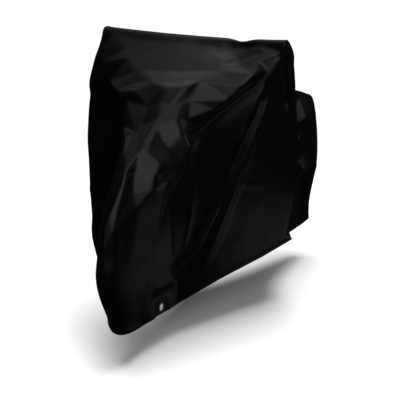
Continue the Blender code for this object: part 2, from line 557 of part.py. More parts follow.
def gusset_surface():
    """Outer face of the gusset, from the right seam over the crown to the left seam."""
    across = np.linspace(-1, 1, GUSSET_CELLS + 1)
    span = across[None, :, None]
    left, right, crown = (p[:, None, :] for p in (SEAM["left"], SEAM["right"], CROWN))
    surface = crown + (left - right) / 2 * span + ((left + right) / 2 - crown) * span**2
    surface = creased(surface, across)
    height = np.zeros(surface.shape[:2])
    for fold in GUSSET_FOLDS:
        row, share = bend(fold).T
        curve = np.stack([[np.interp(s, across, [np.interp(r, LINES, surface[:, j, axis])
                                                 for j in range(len(across))]) for axis in range(3)]
                          for r, s in zip(row, share)])
        height += relief(surface, curve, fold)
    height *= smoothstep((1 - abs(across)) / 0.16)[None, :]
    return surface + normals_of(surface, True) * height[:, :, None]


def panel_surface(side):
    """Outer face of a side panel, from its seam down to the hem."""
    down = np.linspace(0, 1, PANEL_CELLS + 1)
    seam, foot = SEAM[side][:, None, :], hem_points(side)[:, None, :]
    table = LINE_TABLE[side]
    inner = [smooth_curve(ROWS, [getattr(line, name) for line in table], LINES)
             for name in ("shoulder", "flank", "skirt")]
    none = np.zeros_like(inner[0])
    knots = np.stack([none] + inner + [none])
    stand = smooth_curve(DOWN, knots.reshape(len(DOWN), -1), down)
    stand = stand.reshape(len(down), len(LINES), 2).transpose(1, 0, 2)
    surface = seam + (foot - seam) * down[None, :, None]
    surface[:, :, :2] += stand * np.array([SIGN[side], 1.0])
    if side == "left":
        surface = panel_creased(surface, down)
    height = sum(relief(surface[:, :, 1:], bend(fold), fold) for fold in FOLD_TABLE[side])
    height = height * smoothstep(down / 0.10)[None, :]
    surface[:, :, 0] += SIGN[side] * height
    return flatten(surface, TABS[side])


def flatten(surface, tab):
    """Bring the panel into the tab's own plane all round the tab."""
    beside = np.maximum(abs(surface[:, :, 1] - tab.y) - TAB_HALF_WIDTH - 0.006, 0)
    above = np.maximum(surface[:, :, 2] - tab.z - TAB_TOP - 0.006, 0)
    share = 1 - smoothstep(np.hypot(beside, above) / FLAT_REACH)
    surface[:, :, 0] += (tab.x - surface[:, :, 0]) * share
    return surface


def thickness(rows, columns, hem_columns):
    """Thickness of the cloth at each grid point, more along a turned hem."""
    depth = np.full((rows, columns), CLOTH)
    depth[[0, -1], :] = HEM_CLOTH
    depth[:, hem_columns] = HEM_CLOTH
    return depth[:, :, None]


def mitre(grid, normals, column, side_normals, seam):
    """The edge of a sheet along a seam, cut so that the two sheets meet on one plane."""
    shared = unit(normals[:, column] + side_normals)
    inward = 1 if column == 0 else -1
    across = unit(np.cross(np.gradient(seam, axis=0), shared))
    across *= np.sign(np.sum(across * (grid[:, column + inward] - seam), axis=1))[:, None]
    slant = np.maximum(np.sum(shared * side_normals, axis=1), 0.6)[:, None]
    outer = seam + across * GAP * 0.6
    return outer, outer - shared * CLOTH / slant


def sheet(name, outer, inner, flip):
    """A closed sheet between two grids of points."""
    rows, columns = outer.shape[:2]
    bm = bmesh.new()
    levels = [[[bm.verts.new(Vector(p) - REST) for p in line] for line in grid]
              for grid in (outer, inner)]
    for i in range(rows - 1):
        for j in range(columns - 1):
            corners = [(i, j), (i + 1, j), (i + 1, j + 1), (i, j + 1)]
            ends = [outer[c] for c in corners]
            if np.linalg.norm(ends[1] - ends[3]) < np.linalg.norm(ends[0] - ends[2]):
                corners = corners[1:] + corners[:1]
            for half in (corners[:3], corners[2:] + corners[:1]):
                for level, grid in enumerate(levels):
                    face = [grid[k][m] for k, m in half]
                    bm.faces.new(face if (level == 0) != flip else face[::-1])
    top, under = levels
    rim = [(i, 0) for i in range(rows)]
    rim += [(rows - 1, j) for j in range(1, columns)]
    rim += [(i, columns - 1) for i in range(rows - 2, -1, -1)]
    rim += [(0, j) for j in range(columns - 2, 0, -1)]
    for (i, j), (k, m) in zip(rim, rim[1:] + rim[:1]):
        corners = [top[i][j], under[i][j], under[k][m], top[k][m]]
        bm.faces.new(corners if not flip else corners[::-1])
    return finish(name, bm)


def finish(name, bm):
    """Make an object of a mesh and add it to the scene."""
    mesh = bpy.data.meshes.new(name)
    bm.to_mesh(mesh)
    bm.free()
    piece = bpy.data.objects.new(name, mesh)
    bpy.context.scene.collection.objects.link(piece)
    return piece


def tab_outline(side, margin, foot_margin):
    """Corners of a tab in (y, z), rounded at the top."""
    tab = TABS[side]
    front, back = tab.y - TAB_HALF_WIDTH - margin, tab.y + TAB_HALF_WIDTH + margin
    top, foot = tab.z + TAB_TOP + margin, tab.z - TAB_FOOT - foot_margin
    radius = TAB_CORNER + margin
    points = [(front, foot), (back, foot)]
    for centre_y, start in ((back - radius, 0), (front + radius, 90)):
        for k in range(7):
            angle = math.radians(start + 15 * k)
            points.append((centre_y + radius * math.cos(angle), top - radius + radius * math.sin(angle)))
    return points


def prism(name, outline, x_low, x_high):
    """A closed prism with its outline in (y, z)."""
    bm = bmesh.new()
    ends = [[bm.verts.new(Vector((x, y, z)) - REST) for y, z in outline] for x in (x_low, x_high)]
    bm.faces.new(ends[0][::-1])
    bm.faces.new(ends[1])
    count = len(outline)
    for k in range(count):
        bm.faces.new([ends[0][k], ends[0][(k + 1) % count], ends[1][(k + 1) % count], ends[1][k]])
    return finish(name, bm)


def ring(tab, radius, count):
    """Points round an eyelet, in (y, z)."""
    return [(tab.y + radius * math.cos(2 * math.pi * k / count),
             tab.z + radius * math.sin(2 * math.pi * k / count)) for k in range(count)]


def eyelet(name, tab, x_middle):
    """A rolled eyelet: a barrel through the tab with a rounded rim on each face."""
    half, neck = EYELET_DEPTH / 2, TAB_CLOTH / 2 + GAP
    profile = [
        (EYELET_HOLE, -half * 0.55), (EYELET_HOLE + 0.0012, -half * 0.92), (EYELET_HOLE + 0.0034, -half),
        (EYELET_RIM - 0.0010, -half * 0.84), (EYELET_RIM, -neck), (EYELET_BARREL, -neck),
        (EYELET_BARREL, neck), (EYELET_RIM, neck), (EYELET_RIM - 0.0010, half * 0.84),
        (EYELET_HOLE + 0.0034, half), (EYELET_HOLE + 0.0012, half * 0.92), (EYELET_HOLE, half * 0.55),
    ]
    bm = bmesh.new()
    rings = [[bm.verts.new(Vector((x_middle + x, y, z)) - REST)
              for y, z in ring(tab, radius, EYELET_SEGMENTS)] for radius, x in profile]
    for loop, following in zip(rings, rings[1:] + rings[:1]):
        for k in range(EYELET_SEGMENTS):
            m = (k + 1) % EYELET_SEGMENTS
            bm.faces.new([loop[m], following[m], following[k], loop[k]])
    return finish(name, bm)


def cut(piece, cutter):
    """Take the cutter's shape out of a piece."""
    cutter.hide_render = True
    cutter.display_type = "WIRE"
    boolean = piece.modifiers.new("cut", "BOOLEAN")
    boolean.operation = "DIFFERENCE"
    boolean.solver = "EXACT"
    boolean.object = cutter
    weld = piece.modifiers.new("weld", "WELD")
    weld.merge_threshold = 0.0001


def surface_of(piece, name, colour, roughness, metallic):
    """Give a piece its own material and smooth its round faces."""
    material = bpy.data.materials.new(name)
    material.use_nodes = True
    shader = material.node_tree.nodes["Principled BSDF"]
    shader.inputs["Base Color"].default_value = colour
    shader.inputs["Roughness"].default_value = roughness
    shader.inputs["Metallic"].default_value = metallic
    piece.data.materials.append(material)
    piece.data.shade_smooth()
    piece.data.set_sharp_from_angle(angle=math.radians(50))


def build_cloth():
    """The gusset and the two side panels, mitred along their seams."""
    gusset = gusset_surface()
    gusset_normals = normals_of(gusset, True)
    gusset_inner = gusset - gusset_normals * thickness(*gusset.shape[:2], [])
    pieces = {}
    for side, column, flip in (("left", -1, True), ("right", 0, False)):
        panel = panel_surface(side)
        normals = normals_of(panel, flip)
        inner = panel - normals * thickness(*panel.shape[:2], [-1])
        seam = SEAM[side]
        panel_edge = mitre(panel, normals, 0, gusset_normals[:, column], seam)
        gusset_edge = mitre(gusset, gusset_normals, column, normals[:, 0], seam)
        panel[:, 0], inner[:, 0] = panel_edge
        gusset[:, column], gusset_inner[:, column] = gusset_edge
        pieces[side] = sheet("side_" + side, panel, inner, flip)
    pieces["gusset"] = sheet("gusset", gusset, gusset_inner, True)
    return pieces


def build_tab(side, panel):
    """The tab and eyelet of one side, and the notch for them in the side panel."""
    tab = TABS[side]
    outer = tab.x + SIGN[side] * (TAB_CLOTH - CLOTH) / 2
    inner = outer - SIGN[side] * TAB_CLOTH
    low, high = min(outer, inner), max(outer, inner)
    patch = prism("eyelet_tab_" + side, tab_outline(side, 0, 0), low, high)
    hole = prism("hole_" + side, ring(tab, EYELET_BARREL + GAP, EYELET_SEGMENTS), low - 0.02, high + 0.02)
    notch = prism("notch_" + side, tab_outline(side, GAP, 0.03), low - 0.02, high + 0.02)
    cut(patch, hole)
    cut(panel, notch)
    grommet = eyelet("eyelet_" + side, tab, (low + high) / 2)
    return patch, grommet


def main():
    for old in list(bpy.data.objects):
        bpy.data.objects.remove(old)
    pieces = build_cloth()
    surface_of(pieces["gusset"], "gusset_cloth", BLACK_CLOTH, 0.42, 0.0)
    for side in ("left", "right"):
        surface_of(pieces[side], "side_cloth_" + side, BLACK_CLOTH, 0.42, 0.0)
        patch, grommet = build_tab(side, pieces[side])
        surface_of(patch, "tab_cloth_" + side, BLACK_CLOTH, 0.50, 0.0)
        surface_of(grommet, "eyelet_enamel_" + side, BLACK_ENAMEL, 0.30, 0.6)


main()
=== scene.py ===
"""The looks of a fitted bicycle cover: coated black cloth that hangs on a leaning bicycle.

The centre gusset and the two side panels are thin sheets laid out line by line from the front hem
to the rear hem, then pulled into folds, gathers and storage creases. The hems are turned and
stitched, and each reinforced tab holds a spun eyelet.

Tables are in metres from the floor under the front wheel: +Y towards the bicycle's rear, +X
towards the rider's left, +Z up. REST moves a finished piece to the part's own origin.
"""

import math
from collections import namedtuple

import bmesh
import bpy
import numpy as np
from mathutils import Matrix, Vector, geometry, noise


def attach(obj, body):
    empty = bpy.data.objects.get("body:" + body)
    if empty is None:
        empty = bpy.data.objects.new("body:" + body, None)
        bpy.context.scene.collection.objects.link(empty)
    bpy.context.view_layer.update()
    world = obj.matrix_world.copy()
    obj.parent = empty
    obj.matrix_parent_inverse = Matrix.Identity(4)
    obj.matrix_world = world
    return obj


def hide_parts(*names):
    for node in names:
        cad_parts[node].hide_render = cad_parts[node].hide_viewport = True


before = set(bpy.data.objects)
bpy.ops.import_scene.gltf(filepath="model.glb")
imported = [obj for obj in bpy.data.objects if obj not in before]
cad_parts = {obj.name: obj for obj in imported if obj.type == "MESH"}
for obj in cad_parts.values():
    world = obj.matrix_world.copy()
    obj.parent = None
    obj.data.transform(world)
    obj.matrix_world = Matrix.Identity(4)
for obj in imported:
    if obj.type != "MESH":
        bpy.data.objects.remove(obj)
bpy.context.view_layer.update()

REST = np.array((0.03, 0.275, 1.122))  # where the handlebar carries the cover, above the floor
CLOTH = 0.0012  # thickness of the coated cloth
SOLID_CLOTH = 0.002  # thickness of the same cloth in the solids
HEM = 0.022  # width of the turned hem
SIGN = {"left": 1, "right": -1}  # which way a side faces, in x


def numbered(name, first, last):
    """The names of a run of corners, such as ridge 1, ridge 2 and ridge 3."""
    return [f"{name} {k}" for k in range(first, last + 1)]


def corner_runs(kind, table):
    """One corner for each row of a table. Corners that share a name are numbered."""
    corners = []
    for name, rows in table.items():
        names = [name] if len(rows) == 1 else numbered(name, 1, len(rows))
        corners += [kind(each, *row) for each, row in zip(names, rows)]
    return corners


# One row for each line across the cover, from the front hem to the rear hem: crown is the middle
# of the gusset, and the seams are its two edges.
Station = namedtuple("Station", "name crown seam_left seam_right")
STATIONS = [
    Station("front hem", (0.055, -0.245, 0.138), (0.062, -0.140, 0.128), (-0.038, -0.185, 0.130)),
    Station("wheel nose", (0.060, -0.328, 0.335), (0.085, -0.093, 0.337), (-0.070, -0.190, 0.345)),
    Station("mudguard", (0.050, -0.310, 0.520), (0.092, -0.030, 0.530), (-0.100, -0.060, 0.530)),
    Station("fork crown", (0.045, -0.215, 0.690), (0.110, 0.045, 0.670), (-0.110, 0.010, 0.690)),
    Station("head tube", (0.045, -0.100, 0.820), (0.150, 0.100, 0.790), (-0.130, 0.046, 0.790)),
    Station("brim", (0.040, 0.010, 0.925), (0.220, 0.210, 0.887), (-0.180, 0.085, 0.910)),
    Station("levers", (0.035, 0.110, 1.020), (0.300, 0.300, 0.970), (-0.260, 0.100, 0.985)),
    Station("grip front", (0.030, 0.210, 1.095), (0.352, 0.345, 1.050), (-0.295, 0.145, 1.090)),
    Station("grip end", (0.040, 0.285, 1.127), (0.365, 0.375, 1.116), (-0.305, 0.190, 1.160)),
    Station("shoulder", (0.030, 0.430, 1.098), (0.312, 0.550, 1.035), (-0.285, 0.330, 1.090)),
    Station("top tube", (0.020, 0.620, 1.020), (0.185, 0.670, 0.980), (-0.165, 0.580, 1.000)),
    Station("saddle", (0.010, 0.880, 0.940), (0.098, 0.880, 0.905), (-0.085, 0.860, 0.915)),
    Station("tail", (0.010, 1.110, 0.862), (0.088, 1.090, 0.840), (-0.065, 1.090, 0.845)),
    Station("rear corner", (0.010, 1.315, 0.806), (0.080, 1.285, 0.796), (-0.055, 1.285, 0.796)),
    Station("rear wheel", (0.010, 1.412, 0.530), (0.076, 1.366, 0.520), (-0.055, 1.366, 0.520)),
    Station("rear hub", (0.008, 1.362, 0.310), (0.066, 1.312, 0.310), (-0.050, 1.318, 0.310)),
    Station("rear hem", (0.008, 1.342, 0.190), (0.068, 1.300, 0.200), (-0.045, 1.300, 0.190)),
]

# One row for each station: y is where its line meets the hem, and the rest is how far that line
# stands out (x) and back (y) of straight at its three inner points. DOWN is the share of the way
# from seam to hem at which the line's five points lie.
DOWN = (0.0, 0.15, 0.40, 0.70, 1.0)
Line = namedtuple("Line", "y shoulder flank skirt", defaults=[(0.0, 0.0)] * 3)
REAR_LINES = [  # the same on both sides, from the rear corner on
    Line(1.120, (0.005, 0), (0.008, 0), (0, 0)),
    Line(1.165, (0.004, 0), (0.008, 0), (0, 0)),
    Line(1.200, (0, 0), (0.004, 0), (0, 0)),
    Line(1.235),
]
LINES = {
    "left": [
        Line(0.010),
        Line(0.050),
        Line(0.064),
        Line(0.076, (0.002, 0), (0.002, 0), (0, 0)),
        Line(0.088, (0.004, 0), (0.004, 0), (0, 0)),
        Line(0.102, (0.004, 0), (0.006, 0), (0.004, 0)),
        Line(0.120, (0.002, 0), (0.008, 0), (0.006, 0)),
        Line(0.160, (0, 0), (0.012, 0), (0.008, 0)),
        Line(0.360, (0, 0), (-0.008, 0), (-0.006, 0)),
        Line(0.650),
        Line(0.740, (-0.010, 0), (-0.040, 0), (-0.030, 0)),
        Line(0.900, (0, 0), (-0.024, 0), (-0.016, 0)),
        Line(1.020, (0.004, 0), (-0.004, 0), (-0.008, 0)),
    ] + REAR_LINES,
    "right": [
        Line(0),
        Line(0.050, (0.015, -0.010), (0.025, -0.030), (0.010, -0.020)),
        Line(0.075, (0.072, -0.042), (0.092, -0.073), (0.035, -0.060)),
        Line(0.100, (0.085, -0.030), (0.118, -0.090), (0.053, -0.080)),
        Line(0.125, (0.103, -0.038), (0.133, -0.085), (0.068, -0.090)),
        Line(0.150, (0.118, -0.018), (0.125, -0.080), (0.075, -0.090)),
        Line(0.190, (0.080, -0.015), (0.090, -0.080), (0.075, -0.075)),
        Line(0.250, (0.062, -0.042), (0.070, -0.065), (0.065, -0.060)),
        Line(0.360, (0.040, -0.020), (0.040, -0.030), (0.030, -0.030)),
        Line(0.500, (0.008, 0), (0, 0), (0, 0)),
        Line(0.660, (-0.020, 0), (-0.040, 0), (-0.030, 0)),
        Line(0.850, (0, 0), (-0.020, 0), (-0.014, 0)),
        Line(1.010, (0.004, 0), (-0.004, 0), (-0.008, 0)),
    ] + REAR_LINES,
}

# The hem line on each side, as seen from above and from the side.
HemPoint = namedtuple("HemPoint", "y x z")
HEMS = {
    "left": [
        HemPoint(-0.140, 0.062, 0.128),
        HemPoint(0.060, 0.066, 0.138),
        HemPoint(0.120, 0.070, 0.145),
        HemPoint(0.300, 0.136, 0.194),
        HemPoint(0.500, 0.212, 0.240),
        HemPoint(0.650, 0.280, 0.290),
        HemPoint(0.860, 0.150, 0.235),
        HemPoint(1.200, 0.082, 0.202),
        HemPoint(1.300, 0.068, 0.200),
    ],
    "right": [
        HemPoint(-0.185, -0.038, 0.130),
        HemPoint(0.060, -0.058, 0.138),
        HemPoint(0.120, -0.070, 0.145),
        HemPoint(0.320, -0.175, 0.205),
        HemPoint(0.500, -0.265, 0.270),
        HemPoint(0.760, -0.160, 0.235),
        HemPoint(1.180, -0.070, 0.200),
        HemPoint(1.300, -0.045, 0.190),
    ],
}

# Folds that the cloth is pulled into: a ridge, or a valley if height is below zero. path is the
# points it runs through: (y, z) on a side panel, and (row, share) on the gusset, where share is 1
# at the left seam and -1 at the right one. sharp is 0 for a soft roll and 1 for a pressed crease,
# fade the share of its length over which each end dies away, and lean above zero makes the flank
# on the right of the path the longer one.
Fold = namedtuple("Fold", "width height path sharp fade lean", defaults=(0.0, 0.0, 0.0))
PANEL_FOLDS = {
    "left": [
        # where the cover was folded for storage
        Fold(0.006, 0.003, ((0.255, 0.590), (0.300, 0.584), (0.360, 0.570), (0.450, 0.560)),
             sharp=0.6, fade=0.20, lean=0.5),
        Fold(0.006, 0.003, ((0.235, 0.354), (0.275, 0.345), (0.315, 0.337), (0.370, 0.330)),
             sharp=0.6, fade=0.15, lean=0.5),
        # the tuck behind the grip
        Fold(0.022, -0.012, ((0.430, 1.030), (0.470, 0.960), (0.500, 0.880))),
    ],
    "right": [
        Fold(0.046, 0.008, ((0.160, 1.040), (0.060, 0.740), (-0.020, 0.400))),
        Fold(0.035, -0.016, ((0.120, 0.900), (0.160, 0.640), (0.130, 0.300))),
        Fold(0.030, 0.016, ((0.230, 1.040), (0.300, 0.660), (0.260, 0.240)), sharp=0.2),
        Fold(0.040, -0.012, ((0.290, 1.040), (0.400, 0.760), (0.420, 0.400))),
        Fold(0.018, 0.010, ((0.020, 0.560), (0.080, 0.380), (0.090, 0.190)), sharp=0.3),
        Fold(0.012, -0.008, ((-0.060, 0.420), (0.030, 0.300), (0.060, 0.190)), sharp=0.2),
        Fold(0.060, -0.016, ((0.600, 0.930), (0.720, 0.700), (0.760, 0.400))),
        Fold(0.040, 0.012, ((1.240, 0.780), (1.120, 0.560), (1.080, 0.260)), sharp=0.2),
        Fold(0.030, -0.010, ((1.060, 0.740), (1.180, 0.640), (1.290, 0.600))),
        Fold(0.050, -0.012, ((0.860, 0.860), (0.960, 0.580), (0.920, 0.280))),
    ],
}
GUSSET_FOLDS = [
    # beside the grip
    Fold(0.012, -0.005, ((6.43, 0.53), (6.86, 0.67), (7.28, 0.82)), sharp=0.2, fade=0.20),
    # over the handlebar, and along the top to the rear
    Fold(0.034, -0.010, ((7.29, 0.37), (7.57, 0.53), (8.00, 0.50), (8.60, 0.48))),
    Fold(0.040, -0.010, ((9.00, -0.60), (9.80, 0.00), (10.60, 0.60))),
    Fold(0.030, -0.008, ((11.2, -0.70), (11.9, 0.10), (12.6, 0.60))),
    Fold(0.022, 0.007, ((13.2, 0.60), (13.6, 0.00), (14.0, -0.60)), sharp=0.2),
]

# Where the creases of the gusset's front meet: row and share as above, and how far the point
# stands out of the tube that the cloth would be without them. The cloth is flat between creases.
# Where a name has several rows, its corners are numbered: front ridge 1, front ridge 2 and so on.
Corner = namedtuple("Corner", "name row share height")
CORNERS = corner_runs(Corner, {
    "grip corner": [(7.50, -0.88, 0)],
    "long ridge high": [(6.74, -0.70, 0)],
    "long ridge": [(6.44, -0.59, 0)],
    "long ridge low": [(5.92, -0.39, 0)],
    "brim left": [(5.48, -0.39, -0.006)],
    "brim mid": [(5.44, -0.16, 0.006)],
    "leaf tip": [(5.27, 0.08, 0.014)],
    "brim right": [(5.36, 0.35, 0.017)],
    "rising crease": [(5.65, 0.43, 0.005)],
    "rising crease mid": [(6.07, 0.55, 0)],
    "rising crease top": [(6.40, 0.70, -0.004)],
    "crescent low": [(4.84, 0.88, 0.005)],
    "crescent mid": [(5.20, 0.89, 0.014)],
    "crescent high": [(5.74, 0.86, 0.022)],
    "crescent top": [(6.18, 0.87, 0.022)],
    "crescent end": [(6.76, 0.81, 0.006)],
    "left flat top": [(6.44, -0.97, 0)],
    "left flat low": [(5.69, -0.97, 0)],
    "shadow edge": [(5.19, -0.47, 0.002), (4.87, -0.63, 0)],
    "front ridge": [
        (5.23, -0.86, 0.012), (4.60, -0.92, 0.016), (4.08, -0.66, 0.004), (3.82, -0.35, 0),
        (3.45, -0.13, 0), (3.08, 0.12, 0.006), (2.88, 0.20, 0.006), (2.56, 0.23, 0.004),
        (2.32, 0.08, 0), (2.12, -0.04, 0), (1.77, -0.30, 0),
    ],
    "dark flat low": [(4.03, -0.27, -0.024)],
    "dark flat right": [(4.25, -0.12, -0.018)],
    "dark flat mid": [(4.76, -0.08, -0.006)],
    "leaf left": [
        (4.91, 0.12, 0), (4.44, 0.23, -0.004), (4.14, 0.35, -0.008), (3.87, 0.55, -0.008),
        (3.64, 0.70, 0.008),
    ],
    "leaf foot": [(3.30, 0.90, 0.040)],
    "leaf right": [(4.83, 0.31, 0.002), (4.40, 0.55, 0.008), (4.03, 0.74, 0.020), (3.72, 0.90, 0.040)],
    "beside leaf top": [(5.03, 0.47, -0.004)],
    "beside leaf mid": [(4.44, 0.70, -0.008)],
    "beside leaf low": [(3.95, 0.90, 0.004)],
    "under leaf": [
        (3.58, 0.31, 0), (3.77, 0.35, 0), (3.08, 0.86, 0.010), (3.09, 0.74, 0.032),
        (3.28, 0.63, 0.026), (3.48, 0.43, 0.005),
    ],
    "patch top": [(3.51, 0.23, -0.003)],
    "patch foot": [(3.03, 0.63, 0.030)],
    "patch left": [(3.20, 0.35, -0.004)],
    "crumple": [(3.06, 0.35, -0.006), (2.66, 0.66, 0.034), (2.68, 0.51, 0.004)],
    "tuck": [(2.76, 0.78, 0.012), (2.78, 0.90, 0.004), (2.60, 0.78, 0.030), (2.64, 0.92, 0.012)],
    "last patch left": [(2.60, 0.47, -0.002)],
    "last patch low": [(2.30, 0.60, 0.010)],
    "last patch right": [(2.21, 0.90, 0.012)],
    "low strip": [(2.43, 0.37, 0), (2.02, 0.39, 0), (1.97, 0.23, 0), (1.70, 0.00, 0)],
    "side fall": [
        (3.45, -0.55, -0.004), (3.00, -0.30, -0.006), (2.60, -0.20, -0.006), (2.20, -0.45, 0),
    ],
})

# The creases themselves: each runs straight from corner to corner.
CREASES = [
    ["grip corner", "long ridge high", "long ridge", "long ridge low", "brim mid"],
    ["brim left", "brim mid", "leaf tip", "brim right"],
    ["brim right", "rising crease", "rising crease mid", "rising crease top"],
    ["crescent low", "crescent mid", "crescent high", "crescent top", "crescent end"],
    ["brim left", "shadow edge 1", "shadow edge 2", "front ridge 2"],
    ["left flat top", "left flat low"] + numbered("front ridge", 1, 11),
    ["brim mid", "dark flat mid", "dark flat right", "dark flat low", "front ridge 3"],
    ["leaf tip"] + numbered("leaf left", 1, 5) + ["leaf foot"],
    ["leaf tip"] + numbered("leaf right", 1, 4),
    ["brim right", "beside leaf top", "beside leaf mid", "beside leaf low"],
    ["under leaf 1", "under leaf 2", "leaf left 4"],
    ["under leaf 1", "under leaf 6", "under leaf 5", "under leaf 4", "under leaf 3"],
    ["patch top", "under leaf 6"],
    ["patch top", "patch left", "patch foot", "under leaf 4"],
    ["patch left", "crumple 1", "crumple 3", "crumple 2"],
    ["crumple 2", "tuck 1", "tuck 2"],
    ["crumple 2", "tuck 3", "tuck 4"],
    ["crumple 3", "last patch left", "last patch low", "last patch right"],
    ["front ridge 8"] + numbered("low strip", 1, 4),
]

# The same for the left side panel: y and z, and how far the point stands out of the panel.
PanelCorner = namedtuple("PanelCorner", "name y z out")
PANEL_CORNERS = corner_runs(PanelCorner, {
    # three ridges from the grip down to the front wheel, and the slack between them
    "first ridge": [
        (0.305, 0.948, 0.004), (0.288, 0.893, 0.007), (0.272, 0.840, 0.007), (0.253, 0.769, 0.007),
        (0.229, 0.725, 0.002), (0.204, 0.660, 0.004), (0.180, 0.595, 0.002),
    ],
    "first slack": [
        (0.305, 0.905, -0.004), (0.288, 0.833, -0.005), (0.267, 0.762, -0.010), (0.249, 0.704, -0.008),
        (0.224, 0.626, -0.006),
    ],
    "long ridge": [
        (0.340, 0.921, 0.004), (0.321, 0.878, 0.010), (0.301, 0.816, 0.012), (0.274, 0.741, 0.010),
        (0.256, 0.669, 0.010), (0.245, 0.595, 0.012), (0.240, 0.531, 0.010), (0.227, 0.471, 0.009),
        (0.213, 0.400, 0.008), (0.199, 0.330, 0.007), (0.172, 0.256, 0.006), (0.138, 0.198, 0.004),
    ],
    "slack": [
        (0.375, 0.933, -0.008), (0.365, 0.861, -0.008), (0.354, 0.788, -0.010), (0.341, 0.713, -0.012),
        (0.327, 0.638, -0.014), (0.322, 0.556, -0.012), (0.290, 0.474, -0.010), (0.282, 0.391, -0.008),
        (0.250, 0.321, -0.007), (0.216, 0.242, -0.005), (0.179, 0.192, -0.003),
    ],
    "lower ridge": [
        (0.220, 0.587, -0.004), (0.198, 0.514, 0.005), (0.176, 0.444, 0.007), (0.145, 0.377, 0.007),
        (0.100, 0.320, 0.007), (0.037, 0.275, 0.005), (-0.072, 0.257, 0.002),
    ],
    "lower slack": [
        (0.214, 0.504, -0.006), (0.191, 0.428, -0.007), (0.171, 0.356, -0.007), (0.133, 0.294, -0.006),
        (0.085, 0.238, -0.004),
    ],
    "hollow": [
        (0.196, 0.560, 0), (0.178, 0.490, 0), (0.150, 0.425, -0.002), (0.110, 0.370, -0.001),
        (0.045, 0.325, -0.001), (-0.060, 0.300, -0.001),
    ],
    # the taut triangle between the grip, the front wheel and the lowest point of the hem
    "strip top": [(0.361, 1.003, 0)],
    "triangle": [
        (0.438, 0.920, 0), (0.451, 0.851, 0), (0.474, 0.790, 0.002), (0.478, 0.734, 0.004),
        (0.471, 0.678, 0.004), (0.463, 0.612, 0.004), (0.453, 0.564, 0.004), (0.419, 0.483, 0.004),
        (0.394, 0.390, 0.004), (0.352, 0.310, 0.003), (0.286, 0.263, 0.002), (0.222, 0.204, 0.001),
    ],
    "strip foot": [(0.392, 0.831, -0.003)],
    # between the saddle and the rear wheel
    "behind the grip": [(0.640, 0.900, -0.010)],
    "back edge": [(0.568, 0.900, 0.012), (0.595, 0.700, 0.028), (0.624, 0.480, 0.016)],
    "behind the edge": [(0.670, 0.700, -0.004), (0.690, 0.480, -0.006)],
    "saddle slack": [(0.740, 0.820, -0.014), (0.790, 0.640, -0.020), (0.830, 0.420, -0.014)],
    "saddle ridge": [(0.880, 0.800, 0.004), (0.940, 0.560, 0.006), (0.930, 0.340, 0.002)],
    "rear slack": [(0.990, 0.740, -0.012), (1.010, 0.500, -0.010)],
    "rear crest": [(1.060, 0.712, 0.022), (1.106, 0.728, 0.030), (1.250, 0.770, 0.004)],
    "rear hollow": [(1.080, 0.670, -0.008), (1.160, 0.680, -0.012), (1.300, 0.680, -0.004)],
    "rear spur": [(1.085, 0.630, 0.010)],
    "rear flat": [
        (1.100, 0.530, -0.010), (1.180, 0.560, -0.010), (1.300, 0.585, 0), (1.130, 0.472, 0.020),
        (1.300, 0.470, 0.014),
    ],
    "rear groove": [(1.120, 0.448, -0.006), (1.280, 0.448, 0)],
    "rear strip": [(1.240, 0.425, 0.002), (1.210, 0.330, 0.014), (1.170, 0.350, -0.004)],
})
PANEL_CREASES = [
    numbered("first ridge", 1, 7),
    numbered("first slack", 1, 5) + ["lower ridge 1"],
    numbered("long ridge", 1, 12),
    numbered("slack", 1, 11),
    numbered("lower ridge", 1, 7),
    ["lower ridge 1"] + numbered("lower slack", 1, 5),
    ["first ridge 7"] + numbered("hollow", 1, 6),
    ["strip top"] + numbered("triangle", 1, 12),
    ["strip foot", "triangle 2"],
    numbered("back edge", 1, 3),
    ["behind the grip", "behind the edge 1", "behind the edge 2"],
    numbered("saddle slack", 1, 3),
    numbered("saddle ridge", 1, 3),
    ["rear slack 1", "rear slack 2"],
    numbered("rear crest", 1, 3),
    numbered("rear hollow", 1, 3),
    numbered("rear flat", 1, 3),
    ["rear flat 4", "rear flat 5"],
    ["rear groove 1", "rear groove 2"],
    ["rear strip 1", "rear strip 2"],
]

# How the creases lie in the cloth around them.
CREASED_ROWS = (1.0, 7.9, 0.6, 0.5)  # on the gusset: first row, last row, and the fade at each
CREASED_EDGE = 0.10  # and the fade beside its seams, as a share
ROW_AND_SHARE = (0.12, 0.25)  # one row and one share are about this long, in metres
SEAM_SPOT_ROWS = 0.3  # the seams are held every so many rows
END_SPOT_SHARES = (-0.6, -0.3, 0.0, 0.3, 0.6)  # and the first and the last row at these shares
CREASE_BLUR = 2  # how often a crease is softened
CREASE_PITCH = 0.025  # a panel's crease is cut into lengths of about this
EDGE_SPOT_LINES = 10  # a panel's seam and hem are held at every tenth line
NEAREST = 4  # a panel's corner starts from this many points of the grid
PANEL_CREASED_ENDS = (0.08, 0.03)  # they fade in over these shares, below the seam and above the hem

# In front of these corners, and below HOLLOW_TOP, the panel hangs slack and its creases are blurred.
HOLLOW_EDGE = numbered("hollow", 1, 6) + numbered("first ridge", 1, 7)
HOLLOW_MARGIN = 0.004  # the slack begins this far in front of them
HOLLOW_FADE = 0.02
HOLLOW_TOP = 0.93
HOLLOW_TOP_FADE = 0.05
HOLLOW_BLUR = 160  # how often it is softened

